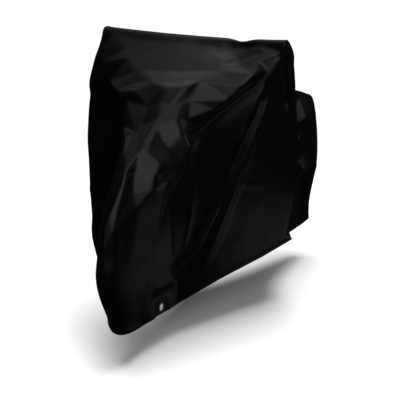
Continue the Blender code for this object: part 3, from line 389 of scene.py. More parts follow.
# The grids of points that the sheets follow.
LINE_COUNT = 430  # lines across the cover, before those of the hems are set apart
FINE_ROWS = 4001  # points at which the crown and the seam are measured
CLOSE_ROWS = (2.2, 4.1, 0.3, 0.3)  # rows where the lines run closer for the gathers, with the fades
BUSY_ROWS = (4.0, 8.4, 0.8, 0.6)  # the same for the creases round the brim and the grips
EXTRA_CLOSE = 2.4  # this many more lines among the gathers, as a share
EXTRA_BUSY = 0.5
EVEN_SHARE = 0.86  # the gusset's columns are even up to here, then crowd to the seam
EVEN_COLUMNS = 30
EDGE_COLUMNS = 14
CROWDING = 1.5  # power with which they crowd
PANEL_CELLS = 84  # points down a panel, between those near its seam and its hem
SEAM_STEPS = (0, 0.003, 0.007, 0.012, 0.018, 0.025, 0.033, 0.042)  # points this far below the seam
HEM_STEPS = (0.0008, 0.0100, HEM - 0.0012, HEM)  # lines of points this far from the cloth's edge
HEM_MARGIN = 0.002  # and one more this far above the hem
HEM_LINES = 4  # lines of points that lie in a hem's two layers
SHARP_ANGLE = math.radians(62)  # edges that turn by more than this look sharp

# Puckers beside the seams, and the unevenness of the cloth.
TIGHT_ROWS = (1.75, 4.15, 0.25, 0.3)  # rows where the seams are gathered tightly, with the fades
GATHER = 0.0021  # height of the tight puckers
GATHER_PITCH = 0.0125
GATHER_DRIFT = 4.5  # how far the pitch strays, in radians
GATHER_ENDS = (0.25, 0.15)  # on the gusset the puckers fade in over these rows, beside its hems
SLIGHT_PUCKER = 0.0007  # height of the loose puckers
DRIFT_LENGTH = 0.050  # lengths of the noise: of the pitch, of the tight puckers and of the loose ones
PUCKER_LENGTH = 0.018
LOOSE_LENGTH = 0.030
SHORT_REACH = 0.011  # puckers run out this far from the seam, or as far as LONG_REACH
LONG_REACH = 0.030
PUCKER_RISE = 0.005  # they rise over this distance from the seam
PUCKER_FALL = 1.4  # power with which they die away
PRESSED_WIDTH = 0.62  # share of a fold's width over which a pressed crease falls away
GUSSET_FOLD_EDGE = 0.16  # folds fade in over this share, beside the gusset's seams
PANEL_FOLD_START = 0.10  # and over this share, below a panel's seam
GUSSET_UNEVEN = 0.0007  # height of the unevenness
PANEL_UNEVEN = 0.0008
UNEVEN_LENGTH = 0.060
GUSSET_UNEVEN_EDGE = 0.05  # it fades in over this share, beside the gusset's seams
PANEL_UNEVEN_EDGES = (0.02, 0.03)  # and over 20 mm below a panel's seam, and this share above its hem
SEEDS = {"gusset left": 1, "gusset": 2, "gusset right": 4, "panel": 7, "panel left": 8, "panel right": 12}
WELT = 0.0010  # the felled seam stands this far proud of the gusset
WELT_WIDTH = 0.0070
WELT_EDGES = (0.0025, 0.0020)  # it rises and falls over these distances

# Reinforced tabs let into the hem beside the front wheel, and the eyelets set in them.
Tab = namedtuple("Tab", "x y z")
TABS = {"left": Tab(0.066, -0.006, 0.162), "right": Tab(-0.056, -0.020, 0.162)}
TAB_HALF_WIDTH = 0.042
TAB_TOP = 0.034  # above the eyelet's centre
TAB_FOOT = 0.026  # below the eyelet's centre
TAB_CLOTH = 0.003
TAB_CORNER = 0.012
WORN_EDGE = 0.0006  # the edges of a tab are worn round by this
FLAT_REACH = 0.050  # the panel goes flat over this distance round the tab
FLAT_MARGIN = 0.006  # and is quite flat this near to it
NOTCH_FOOT = 0.03  # the notch for a tab is cut this far below it
NOTCH_REACH = 0.02  # and this far out and in
EYELET_HOLE = 0.0140  # radii of the hole, the barrel and the rim
EYELET_BARREL = 0.0155
EYELET_RIM = 0.0215
EYELET_DEPTH = 0.0056  # from rim to rim
ROUND = 64  # steps in a full turn
ROD_LENGTH = 0.05  # of the rod that cuts the hole for an eyelet
GAP = 0.0003  # between pieces

# Sewing: black thread, in single rows on the seams and hems and two rows round each tab.
STITCH = 0.0033  # length of one stitch
STITCH_PITCH = 0.0046
THREAD = 0.00045  # half the thickness of the thread
STITCH_RISE = 0.4  # the middle of a stitch is this share of THREAD above the cloth
SEAM_STITCH_LINE = 0.0045  # this far from the seam, on the gusset
HEM_STITCH_LINE = HEM - 0.003  # this far from the edge
TAB_STITCH_INSETS = (0.0035, 0.0075)  # this far from the edge of the tab
SMALLEST_TURN = 0.004  # of a row of stitches, at a tab's corner
TAB_CLEARANCE = 0.003  # a panel's stitches keep this far from the tab, and the tab's own from its foot

# Colours and finishes.
COATED_BLACK = (0.004, 0.004, 0.0044)
DOUBLED_BLACK = (0.008, 0.008, 0.0085)
CLOTH_SHEEN = 0.35
CLOTH_ROUGHNESS = 0.33
ENAMEL = (0.012, 0.012, 0.013)
BARE_METAL = (0.16, 0.15, 0.13)
RUBBED_THROUGH = (0.62, 0.70)  # the enamel goes bare between these heights of the noise

# The studio, in metres from the part's origin.
CAMERA_PLACE = (1.5954, -2.5629, 0.1119)
CAMERA_TARGET = (0.229, -0.327, -0.522)
CAMERA_LENS = 72
ROOM_LIGHT = 0.01  # strength of the white room, as a light
FLOOR_SUN = 3.9
FLOOR_SUN_ANGLE = math.radians(50)
FLOOR_SIZE = 9.0
Lamp = namedtuple("Lamp", "name place target size power")
LAMPS = [
    Lamp("top softbox", (0.4, 0.5, 2.3), (0.1, 0.3, 0.0), (4.6, 2.0), 30),
    Lamp("left softbox", (-2.3, -0.2, 2.2), (0.0, 0.0, -0.2), (1.8, 2.4), 5.5),
    Lamp("front card", (2.65, -1.75, 1.12), (0.1, -0.2, -0.45), (1.7, 2.2), 24),
    Lamp("low card", (0.95, 1.0, -1.4), (0.2, 0.2, -0.75), (0.5, 0.5), 0.28),
    Lamp("rear card", (2.4, 2.8, 0.9), (0.2, 0.7, -0.35), (1.2, 1.2), 6),
]

ROWS = np.arange(len(STATIONS), dtype=float)


# ---------------------------------------------------------------- curves and surfaces

def smooth_curve(knots, values, at):
    """Values between the knots of a table, on a cubic whose slopes keep to the rows."""
    knots = np.asarray(knots, float)
    values = np.asarray(values, float).reshape(len(knots), -1)
    at = np.clip(at, knots[0], knots[-1])
    slopes = np.gradient(values, knots, axis=0)
    cell = np.clip(np.searchsorted(knots, at, side="right") - 1, 0, len(knots) - 2)
    width = (knots[cell + 1] - knots[cell])[:, None]
    u = (at - knots[cell])[:, None] / width
    start = (2 * u**3 - 3 * u**2 + 1) * values[cell] + (u**3 - 2 * u**2 + u) * width * slopes[cell]
    end = (3 * u**2 - 2 * u**3) * values[cell + 1] + (u**3 - u**2) * width * slopes[cell + 1]
    return start + end


def at_rows(table, column, rows):
    """A column of a table that has one row for each station, at rows in between."""
    return smooth_curve(ROWS, [getattr(entry, column) for entry in table], rows)


def unit(vectors):
    return vectors / np.maximum(np.linalg.norm(vectors, axis=-1, keepdims=True), 1e-12)


def smoothstep(t):
    t = np.clip(t, 0.0, 1.0)
    return t * t * (3 - 2 * t)


def window(values, start, end, rise, fall):
    """1 between start and end, and 0 outside: it grows over rise and dies away over fall."""
    return smoothstep((values - start) / rise) * smoothstep((end - values) / fall)


def part_way(run, table, distance):
    """The row of a table of points at a distance along its run."""
    return np.array([np.interp(distance, run, table[:, axis]) for axis in range(3)])


def path_curve(path, count=65):
    """Points along the smooth curve of a fold."""
    knots = np.arange(len(path), dtype=float)
    return smooth_curve(knots, path, np.linspace(0, len(path) - 1, count))


def relief(points, place, curve, line, fold):
    """Height of a fold at each point, from how far the point lies from the fold's curve.

    line is the same curve in the table's own numbers, and place those numbers at each point.
    """
    apart = np.full(points.shape[:-1], np.inf)
    nearest = np.zeros(points.shape[:-1], int)
    for k, spot in enumerate(curve):
        distance = np.linalg.norm(points - spot, axis=-1)
        closer = distance < apart
        apart[closer] = distance[closer]
        nearest[closer] = k
    heading = np.gradient(line, axis=0)[nearest]
    off = place - line[nearest]
    flank = np.sign(heading[..., 0] * off[..., 1] - heading[..., 1] * off[..., 0])
    reach = apart / (fold.width * (1 - fold.lean * flank))
    roll, pressed = np.exp(-reach**2), np.exp(-reach / PRESSED_WIDTH)
    height = fold.height * ((1 - fold.sharp) * roll + fold.sharp * pressed)
    if fold.fade:
        height = height * window(nearest / (len(curve) - 1), 0, 1, fold.fade, fold.fade)
    return height


def normals_of(grid, flip):
    """Unit normals of a grid of points, turned inside out when flip is set."""
    along, across = np.gradient(grid, axis=0), np.gradient(grid, axis=1)
    return unit(np.cross(along, across)) * (-1 if flip else 1)


def ripple(points, scale, seed, octaves=2):
    """Uneven smooth numbers between about -1 and 1, one for each point."""
    flat = points.reshape(-1, points.shape[-1]) / scale
    flat = np.pad(flat, ((0, 0), (0, 3 - flat.shape[1])))
    shift = Vector((seed * 7.31, seed * 3.77, seed * 5.13))
    values = [noise.fractal(Vector(p) + shift, 1.0, 2.0, octaves) for p in flat]
    return np.array(values).reshape(points.shape[:-1])


def walked(points):
    """Distance along a line of points, from its first one."""
    steps = np.linalg.norm(np.diff(points, axis=0), axis=1)
    return np.concatenate([[0.0], np.cumsum(steps)])


def blur(grid, share, times):
    """Move the inside of a grid of numbers towards the mean of its neighbours, again and again."""
    for _ in range(times):
        around = (grid[:-2, 1:-1] + grid[2:, 1:-1] + grid[1:-1, :-2] + grid[1:-1, 2:]) / 4
        grid[1:-1, 1:-1] += (around - grid[1:-1, 1:-1]) * share


# ---------------------------------------------------------------- where the lines run

def line_rows():
    """The lines across the cover, in rows of STATIONS: closer where the cloth is gathered or creased."""
    fine = np.linspace(0, len(STATIONS) - 1, FINE_ROWS)
    crown, seam = at_rows(STATIONS, "crown", fine), at_rows(STATIONS, "seam_left", fine)
    pace = np.maximum(np.gradient(walked(crown)), np.gradient(walked(seam))) / np.gradient(fine)
    gathered, busy = window(fine, *CLOSE_ROWS), window(fine, *BUSY_ROWS)
    density = pace * (1 + EXTRA_CLOSE * gathered + EXTRA_BUSY * busy)
    total = np.concatenate([[0.0], np.cumsum((density[1:] + density[:-1]) / 2 * np.diff(fine))])
    inner = np.interp(np.linspace(0, total[-1], LINE_COUNT), total, fine)
    hem_rows = []
    for reach in HEM_STEPS:
        hem_rows.append(np.interp(reach, walked(crown), fine))
        hem_rows.append(fine[-1] - np.interp(reach, walked(crown[::-1]), fine))
    length = walked(crown)[-1]
    first, last = np.interp([HEM + HEM_MARGIN, length - HEM - HEM_MARGIN], walked(crown), fine)
    inner = inner[(inner > first) & (inner < last)]
    return np.unique(np.concatenate([[0.0, fine[-1]], hem_rows, inner]))


def gathers(seam, away, rows, seed):
    """Height of the puckers beside a seam: tight where it is gathered, slight elsewhere."""
    along = walked(seam)
    place = np.stack([along, along * 0], axis=-1)
    drift = ripple(place, DRIFT_LENGTH, seed)
    long_pucker = 0.5 + 0.5 * ripple(place, PUCKER_LENGTH, seed + 3, 1)
    reach = SHORT_REACH + (LONG_REACH - SHORT_REACH) * np.clip(long_pucker, 0, 1)
    wave = np.sin(2 * math.pi * along / GATHER_PITCH + drift * GATHER_DRIFT)
    loose = ripple(place, LOOSE_LENGTH, seed + 6)
    tight = window(rows, *TIGHT_ROWS) * wave * (0.55 + 0.45 * long_pucker)
    height = GATHER * tight + SLIGHT_PUCKER * loose
    dying = np.exp(-(away / reach[:, None]) ** PUCKER_FALL)
    return height[:, None] * smoothstep(away / PUCKER_RISE) * dying


LINE_ROWS = line_rows()
CROWN = at_rows(STATIONS, "crown", LINE_ROWS)
SEAM = {side: at_rows(STATIONS, "seam_" + side, LINE_ROWS) for side in ("left", "right")}


def rows_and_shares(across):
    """The row and the share across of every point of the gusset's grid."""
    return np.stack(np.meshgrid(LINE_ROWS, across, indexing="ij"), axis=-1)


def spot_on(surface, across, row, share):
    """The point of the gusset at a row and a share of the way across."""
    line = np.clip(np.searchsorted(LINE_ROWS, row), 1, len(LINE_ROWS) - 1)
    before, after = LINE_ROWS[line - 1], LINE_ROWS[line]
    part = (row - before) / (after - before)
    return (part_way(across, surface[line - 1], share) * (1 - part)
            + part_way(across, surface[line], share) * part)


# ---------------------------------------------------------------- creases

def laid_flat(spots, values, creases, place, result):
    """Fill in result at each place from the flat faces that lie between spots and creases."""
    spots = [Vector(spot) for spot in spots]
    plan, _, faces, sources, _, _ = geometry.delaunay_2d_cdt(spots, creases, [], 0, 1e-7)
    for face in faces:
        corner, right, left = (np.array(plan[k]) for k in face)
        basis = np.linalg.inv(np.stack([right - corner, left - corner], axis=1))
        part = (place - corner) @ basis.T
        inside = (part.min(axis=-1) > -1e-9) & (part.sum(axis=-1) < 1 + 1e-9)
        u, v = part[inside][:, :1], part[inside][:, 1:]
        p, q, r = (values[sources[k][0]] for k in face)
        result[inside] = p * (1 - u - v) + q * u + r * v
    blur(result, 0.5, CREASE_BLUR)


def crease_ends(corners, creases):
    """The creases as pairs of numbers in the table of corners."""
    names = [corner.name for corner in corners]
    return [(names.index(a), names.index(b)) for crease in creases for a, b in zip(crease, crease[1:])]


def creased(surface, across):
    """Pull the tube of the gusset flat between its creases, and keep its two seams."""
    stretch = np.array(ROW_AND_SHARE)
    flat_spots = [(corner.row, corner.share) for corner in CORNERS]
    heights = [corner.height for corner in CORNERS]
    first, last = CREASED_ROWS[:2]
    for row in np.arange(first, last + 0.1, SEAM_SPOT_ROWS):
        flat_spots += [(row, -1.0), (row, 1.0)]
    for row in (first, last):
        flat_spots += [(row, share) for share in END_SPOT_SHARES]
    heights += [0.0] * (len(flat_spots) - len(heights))
    normals = normals_of(surface, True)
    points = np.array([spot_on(surface, across, *spot) + height * unit(spot_on(normals, across, *spot))
                       for spot, height in zip(flat_spots, heights)])
    result = surface.copy()
    creases, place = crease_ends(CORNERS, CREASES), rows_and_shares(across) * stretch
    laid_flat(np.array(flat_spots) * stretch, points, creases, place, result)
    share = np.outer(window(LINE_ROWS, *CREASED_ROWS), smoothstep((1 - abs(across)) / CREASED_EDGE))
    return surface + (result - surface) * share[:, :, None]


def panel_stand(surface, corner):
    """How far out a panel stands at a corner, from the points of its grid nearest to it."""
    apart = np.linalg.norm(surface[:, :, 1:] - (corner.y, corner.z), axis=-1).ravel()
    near = np.argsort(apart)[:NEAREST]
    weight = 1 / (apart[near] + 1e-4)
    return (surface[:, :, 0].ravel()[near] * weight).sum() / weight.sum()


def hanging_slack(y, z):
    """1 where the panel hangs slack in front of the hollow's edge, and 0 behind it."""
    edge = np.array([(corner.z, corner.y) for corner in PANEL_CORNERS if corner.name in HOLLOW_EDGE])
    edge = edge[np.argsort(edge[:, 0])]
    in_front = smoothstep((np.interp(z, *edge.T) - y - HOLLOW_MARGIN) / HOLLOW_FADE)
    return in_front * smoothstep((HOLLOW_TOP - z) / HOLLOW_TOP_FADE)


def panel_creased(surface, down):
    """The same for a side panel, seen from its side: only how far it stands out changes."""
    spots = [(corner.y, corner.z) for corner in PANEL_CORNERS]
    stands = [panel_stand(surface, corner) + corner.out for corner in PANEL_CORNERS]
    creases = []
    for a, b in crease_ends(PANEL_CORNERS, PANEL_CREASES):
        pieces = max(1, round(math.dist(spots[a], spots[b]) / CREASE_PITCH))
        chain = [a] + list(range(len(spots), len(spots) + pieces - 1)) + [b]
        creases += list(zip(chain, chain[1:]))
        for part in np.arange(1, pieces) / pieces:
            spots.append(tuple(np.array(spots[a]) * (1 - part) + np.array(spots[b]) * part))
            stands.append(stands[a] * (1 - part) + stands[b] * part)
    for column in (0, -1):
        edge = surface[::EDGE_SPOT_LINES, column]
        creases += [(len(spots) + k, len(spots) + k + 1) for k in range(len(edge) - 1)]
        spots += [tuple(point) for point in edge[:, 1:]]
        stands += list(edge[:, 0])
    result = surface[:, :, :1].copy()
    laid_flat(spots, np.array(stands)[:, None], creases, surface[:, :, 1:], result)
    blur(result[:, :, 0], hanging_slack(*surface[1:-1, 1:-1, 1:].T).T, HOLLOW_BLUR)
    surface[:, :, 0] += (result[:, :, 0] - surface[:, :, 0]) * window(down, 0, 1, *PANEL_CREASED_ENDS)
    return surface


# ---------------------------------------------------------------- the outer faces of the cloth

def gusset_grid():
    """Outer face of the gusset, from the right seam over the crown to the left seam."""
    even = np.linspace(0, EVEN_SHARE, EVEN_COLUMNS)[:-1]
    crowded = 1 - (1 - EVEN_SHARE) * np.linspace(1, 0, EDGE_COLUMNS) ** CROWDING
    half = np.concatenate([even, crowded])
    across = np.concatenate([-half[:0:-1], half])
    span = across[None, :, None]
    left, right, crown = (p[:, None, :] for p in (SEAM["left"], SEAM["right"], CROWN))
    surface = crown + (left - right) / 2 * span + ((left + right) / 2 - crown) * span**2
    surface = creased(surface, across)
    height, place = np.zeros(surface.shape[:2]), rows_and_shares(across)
    for fold in GUSSET_FOLDS:
        line = path_curve(fold.path)
        curve = np.array([spot_on(surface, across, row, share) for row, share in line])
        height += relief(surface, place, curve, line, fold)
    from_seam = (1 - abs(across))[None, :]
    height *= smoothstep(from_seam / GUSSET_FOLD_EDGE)
    uneven = GUSSET_UNEVEN * ripple(surface, UNEVEN_LENGTH, SEEDS["gusset"])
    height += uneven * smoothstep(from_seam / GUSSET_UNEVEN_EDGE)
    half_way = len(across) // 2
    fade = window(LINE_ROWS, 0, LINE_ROWS[-1], *GATHER_ENDS)[:, None]
    for side, part in (("left", slice(half_way, None)), ("right", slice(0, half_way + 1))):
        away = np.linalg.norm(surface[:, part] - SEAM[side][:, None, :], axis=-1)
        height[:, part] += gathers(SEAM[side], away, LINE_ROWS, SEEDS["gusset " + side]) * fade
        height[:, part] += WELT * window(away, 0, WELT_WIDTH, *WELT_EDGES)
    return across, surface + normals_of(surface, True) * height[:, :, None]


def hem_points(side):
    """The foot of every line, on the hem."""
    y = at_rows(LINES[side], "y", LINE_ROWS)[:, 0]
    table = HEMS[side]
    x, z = (np.interp(y, [h.y for h in table], [getattr(h, axis) for h in table]) for axis in "xz")
    return np.stack([x, y, z], axis=1)


def flatten(surface, tab):
    """Bring the panel into the tab's own plane all round the tab."""
    beside = np.maximum(abs(surface[:, :, 1] - tab.y) - TAB_HALF_WIDTH - FLAT_MARGIN, 0)
    above = np.maximum(surface[:, :, 2] - tab.z - TAB_TOP - FLAT_MARGIN, 0)
    share = 1 - smoothstep(np.hypot(beside, above) / FLAT_REACH)
    surface[:, :, 0] += (tab.x - surface[:, :, 0]) * share
    return surface


def panel_grid(side):
    """Outer face of a side panel, from its seam down to the hem."""
    seam, foot = SEAM[side], hem_points(side)
    length = np.linalg.norm(foot - seam, axis=1)[:, None]
    near_seam = np.array(SEAM_STEPS)[None, :]
    near_hem = np.array([HEM + HEM_MARGIN, *HEM_STEPS[::-1], 0.0])[None, :]
    middle = np.linspace(0, 1, PANEL_CELLS)[None, 1:-1]
    start, end = near_seam[:, -1:] / length, 1 - near_hem[:, :1] / length
    down = np.hstack([near_seam / length, start + (end - start) * middle, 1 - near_hem / length])
    inner = [at_rows(LINES[side], name, LINE_ROWS) for name in ("shoulder", "flank", "skirt")]
    none = np.zeros_like(inner[0])
    weights = smooth_curve(DOWN, np.eye(len(DOWN)), down.ravel()).reshape(*down.shape, len(DOWN))
    stand = np.einsum("ijk,kia->ija", weights, np.stack([none] + inner + [none]))
    surface = seam[:, None, :] + (foot - seam)[:, None, :] * down[:, :, None]
    surface[:, :, :2] += stand * np.array([SIGN[side], 1.0])
    if side == "left":
        surface = panel_creased(surface, down)
    place = surface[:, :, 1:].copy()
    height = 0
    for fold in PANEL_FOLDS[side]:
        line = path_curve(fold.path)
        height = height + relief(place, place, line, line, fold)
    height = height * smoothstep(down / PANEL_FOLD_START)
    away = down * length
    uneven = PANEL_UNEVEN * ripple(surface, UNEVEN_LENGTH, SEEDS["panel"])
    below_seam, above_hem = PANEL_UNEVEN_EDGES
    height = height + uneven * smoothstep(away / below_seam) * smoothstep((1 - down) / above_hem)
    height = height + gathers(seam, away, LINE_ROWS, SEEDS["panel " + side])
    surface[:, :, 0] += SIGN[side] * height
    return down, flatten(surface, TABS[side])


# ---------------------------------------------------------------- pieces

def add_piece(name, bm):
    """Make an object of a mesh, smooth but for its sharp edges, and add it to the scene."""
    for face in bm.faces:
        face.smooth = True
    mesh = bpy.data.meshes.new(name)
    bm.to_mesh(mesh)
    bm.free()
    mesh.set_sharp_from_angle(angle=SHARP_ANGLE)
    piece = bpy.data.objects.new(name, mesh)
    bpy.context.scene.collection.objects.link(piece)
    return piece


def sheet_piece(name, surface, flip, hem_mask):
    """A thin sheet that follows a grid of points, with UVs in metres along the cloth."""
    rows, columns = surface.shape[:2]
    middle = columns // 2
    start = middle if flip else 0
    down_cloth = np.stack([walked(line) for line in surface])
    down_cloth -= down_cloth[:, start:start + 1]
    along_cloth = walked(surface[:, middle])
    bm = bmesh.new()
    bmesh.ops.create_grid(bm, x_segments=columns - 1, y_segments=rows - 1, size=0.5)
    bm.verts.ensure_lookup_table()
    hem = bm.verts.layers.deform.verify()
    for vertex, place, turned in zip(bm.verts, (surface - REST).reshape(-1, 3), hem_mask.ravel()):
        vertex.co = place
        vertex[hem][0] = float(turned)
    cloth_uv = bm.loops.layers.uv.new("cloth")
    for face in bm.faces:
        for loop in face.loops:
            i, j = divmod(loop.vert.index, columns)
            loop[cloth_uv].uv = (down_cloth[i, j], along_cloth[i])
    if flip:
        bmesh.ops.reverse_faces(bm, faces=bm.faces)
    piece = add_piece(name, bm)
    piece.vertex_groups.new(name="hem")
    solid = piece.modifiers.new("cloth", "SOLIDIFY")
    solid.thickness = CLOTH * 2               # two layers in the hem, and half of that elsewhere
    solid.thickness_vertex_group = 0.5
    solid.vertex_group = "hem"
    solid.offset = -1
    return piece


def cut_through(piece, cutter):
    """Take the cutter's shape out of a piece for good, and the cutter out of the scene."""
    boolean = piece.modifiers.new("cut", "BOOLEAN")
    boolean.operation = "DIFFERENCE"
    boolean.solver = "EXACT"
    boolean.object = cutter
    bpy.context.view_layer.update()
    cut_piece = piece.evaluated_get(bpy.context.evaluated_depsgraph_get())
    whole, cut_mesh = piece.data, bpy.data.meshes.new_from_object(cut_piece)
    piece.modifiers.clear()
    piece.data = cut_mesh
    bpy.data.meshes.remove(whole)
    bpy.data.objects.remove(cutter)


def tab_faces(side):
    """Where the outer and the inner face of a tab lie, in x."""
    outer = TABS[side].x + SIGN[side] * (TAB_CLOTH - SOLID_CLOTH) / 2
    return outer, outer - SIGN[side] * TAB_CLOTH


def tab_slab(name, side, margin, foot_margin, reach):
    """An upright slab with the outline of a tab, rounded at its upper corners."""
    tab = TABS[side]
    low_x, high_x = sorted(tab_faces(side))
    foot, top = tab.z - TAB_FOOT - foot_margin, tab.z + TAB_TOP + margin
    width, height, thick = 2 * (TAB_HALF_WIDTH + margin), top - foot, high_x - low_x + 2 * reach
    upright = Matrix((
        (0, 0, 1, low_x - reach),
        (width, 0, 0, tab.y),
        (0, height, 0, (top + foot) / 2),
        (0, 0, 0, 1),
    ))
    bm = bmesh.new()
    bmesh.ops.create_grid(bm, x_segments=1, y_segments=1, size=0.5)
    bmesh.ops.transform(bm, matrix=Matrix.Translation(-Vector(REST)) @ upright, verts=bm.verts)
    upper = [v for v in bm.verts if v.co.z > (top + foot) / 2 - REST[2]]
    bmesh.ops.bevel(bm, geom=upper, offset=TAB_CORNER + margin, offset_type="OFFSET", segments=8,
                    profile=0.5, affect="VERTICES", material=-1)
    lifted = bmesh.ops.extrude_face_region(bm, geom=bm.faces[:])["geom"]
    lifted = [element for element in lifted if isinstance(element, bmesh.types.BMVert)]
    bmesh.ops.translate(bm, verts=lifted, vec=(thick, 0, 0))
    bmesh.ops.recalc_face_normals(bm, faces=bm.faces)
    return add_piece(name, bm)


def round_cutter(side, radius):
    """A short rod through the middle of a tab."""
    bm = bmesh.new()
    bmesh.ops.create_cone(bm, cap_ends=True, segments=ROUND, radius1=radius, radius2=radius,
                          depth=ROD_LENGTH)
    middle = Matrix.Translation(Vector(TABS[side]) - Vector(REST))
    bmesh.ops.transform(bm, matrix=middle @ Matrix.Rotation(math.pi / 2, 4, "Y"), verts=bm.verts)
    return add_piece("rod", bm)


def eyelet_piece(side):
    """A rolled eyelet, spun from its section: a barrel with a rounded rim on each face of the tab."""
    tab = TABS[side]
    neck = TAB_CLOTH / 2 + GAP
    middle, half_rim = (EYELET_HOLE + EYELET_RIM) / 2, (EYELET_RIM - EYELET_HOLE) / 2
    rim = [(middle - half_rim * math.cos(t), neck + (EYELET_DEPTH / 2 - neck) * math.sin(t))
           for t in np.linspace(0, math.pi, 11)]
    section = rim + [(EYELET_BARREL, neck), (EYELET_BARREL, -neck)] + [(r, -x) for r, x in rim[::-1]]
    bm = bmesh.new()
    centre = Vector((sum(tab_faces(side)) / 2, tab.y, tab.z)) - Vector(REST)
    ring = [bm.verts.new(centre + Vector((x, r, 0))) for r, x in section]
    edges = [bm.edges.new((a, b)) for a, b in zip(ring, ring[1:] + ring[:1])]
    bmesh.ops.spin(bm, geom=ring + edges, cent=centre, axis=(1, 0, 0), dvec=(0, 0, 0), angle=2 * math.pi,
                   steps=ROUND, use_merge=True, use_duplicate=False)
    bmesh.ops.remove_doubles(bm, verts=bm.verts, dist=0.00002)
    bmesh.ops.recalc_face_normals(bm, faces=bm.faces)
    return add_piece("eyelet_" + side + "_rolled", bm)


# ---------------------------------------------------------------- sewing

def beside_edge(lines, normals, distance):
    """Points and normals at a distance from the first point of each line."""
    points, outs = [], []
    for line, normal in zip(lines, normals):
        run = walked(line)
        points.append(part_way(run, line, distance))
        outs.append(part_way(run, normal, distance))
    return np.array(points), unit(np.array(outs))


def stitch_piece(name, sewn_rows, keep=None):
    """The stitches of a sheet, row by row along lines of points, where keep(point) holds."""
    one = bmesh.new()
    bmesh.ops.create_uvsphere(one, u_segments=6, v_segments=5, radius=1)
    stitch = bpy.data.meshes.new("stitch")
    one.to_mesh(stitch)
    one.free()
    bm = bmesh.new()
    for points, outs in sewn_rows:
        run = walked(points)
        for at in np.arange(STITCH_PITCH / 2, run[-1] - STITCH_PITCH / 2, STITCH_PITCH):
            spot = part_way(run, points, at)
            if keep is None or keep(spot):
                before, after = (part_way(run, points, at + step) for step in (-STITCH / 2, STITCH / 2))
                placed = stitch.copy()
                placed.transform(stitch_lie(spot, after - before, part_way(run, outs, at)))
                bm.from_mesh(placed)
                bpy.data.meshes.remove(placed)
    bpy.data.meshes.remove(stitch)
    return add_piece(name, bm)


def stitch_lie(spot, heading, out):
    """The matrix that shrinks a ball to a stitch and lays it on the cloth at a spot."""
    heading = Vector(heading).normalized()
    side = Vector(out).cross(heading).normalized()
    out = heading.cross(side)
    lie = Matrix.Identity(4)
    for k, (axis, size) in enumerate(((side, THREAD), (out, THREAD), (heading, STITCH / 2))):
        lie.col[k].xyz = axis * size
    lie.col[3].xyz = Vector(spot - REST) + out * THREAD * STITCH_RISE
    return lie


def off_the_tab(side):
    """True where a stitch of a side panel is clear of its tab."""
    tab = TABS[side]
    beside, top = TAB_HALF_WIDTH + TAB_CLEARANCE, tab.z + TAB_TOP + TAB_CLEARANCE
    return lambda spot: abs(spot[1] - tab.y) > beside or spot[2] > top


def tab_line(side, inset):
    """The line of stitching round a tab, open at the foot."""
    tab, corner = TABS[side], max(TAB_CORNER - inset, SMALLEST_TURN)
    half, top, foot = TAB_HALF_WIDTH - inset, tab.z + TAB_TOP - inset, tab.z - TAB_FOOT + TAB_CLEARANCE
    turn = np.linspace(0, math.pi / 2, 7)
    back = [(half - corner + corner * math.cos(t), top - corner + corner * math.sin(t)) for t in turn]
    front = [(-y, z) for y, z in back[::-1]]
    line = [(half, foot)] + back + front + [(-half, foot)]
    points = np.array([(tab_faces(side)[0], tab.y + y, z) for y, z in line])
    return points, np.tile((float(SIGN[side]), 0.0, 0.0), (len(points), 1))


# ---------------------------------------------------------------- floor, light and camera

def set_up(name, data, matrix):
    """Add a light or a camera to the scene, where the matrix puts it."""
    made = bpy.data.objects.new(name, data)
    made.matrix_world = matrix
    bpy.context.scene.collection.objects.link(made)
    return made


def aimed(place, target):
    """The matrix of a light or a camera at a place, turned to its target."""
    turn = (Vector(target) - Vector(place)).to_track_quat("-Z", "Y")
    return Matrix.Translation(place) @ turn.to_matrix().to_4x4()


def lay_floor():
    """A pale floor that sends no light back to the cloth."""
    bm = bmesh.new()
    bmesh.ops.create_grid(bm, x_segments=1, y_segments=1, size=FLOOR_SIZE)
    bmesh.ops.translate(bm, verts=bm.verts, vec=(0, 0, -REST[2]))
    floor = add_piece("floor", bm)
    finish = {"Base Color": (0.86, 0.86, 0.86, 1), "Roughness": 0.7}
    floor.data.materials.append(dress(new_finish("pale_floor"), finish))
    floor.visible_glossy = floor.visible_diffuse = floor.visible_shadow = False
    return floor


def light_floor(floor):
    """A sun that shines on the floor alone."""
    sun = bpy.data.lights.new("floor light", "SUN")
    sun.energy = FLOOR_SUN
    sun.angle = FLOOR_SUN_ANGLE
    lit = bpy.data.collections.new("lit by the floor light")
    lit.objects.link(floor)
    set_up("floor light", sun, Matrix.Identity(4)).light_linking.receiver_collection = lit


def hang_lamps():
    """The soft boxes and cards of the studio."""
    for lamp in LAMPS:
        area = bpy.data.lights.new(lamp.name, "AREA")
        area.shape = "RECTANGLE"
        area.size, area.size_y = lamp.size
        area.energy = lamp.power
        set_up(lamp.name, area, aimed(lamp.place, lamp.target))


def paint_room():
    """A room that looks white but gives hardly any light."""
    world = bpy.data.worlds.new("studio")
    bpy.context.scene.world = world
    world.use_nodes = True
    world.node_tree.nodes.clear()
    room = add_node(world, "Background", {"Color": (1, 1, 1, 1), "Strength": ROOM_LIGHT})
    seen = add_node(world, "Background", {"Color": (1, 1, 1, 1), "Strength": 1.0})
    path = add_node(world, "LightPath", {})
    choose = add_node(world, "MixShader", {0: path.outputs["Is Camera Ray"],
                                           1: room.outputs[0], 2: seen.outputs[0]})
    add_node(world, "OutputWorld", {0: choose.outputs[0]})


def place_camera():
    camera = bpy.data.cameras.new("camera")
    camera.sensor_width = 36
    camera.lens = CAMERA_LENS
    camera.clip_end = 60
    bpy.context.scene.camera = set_up("camera", camera, aimed(CAMERA_PLACE, CAMERA_TARGET))
    bpy.context.scene.view_settings.view_transform = "Standard"


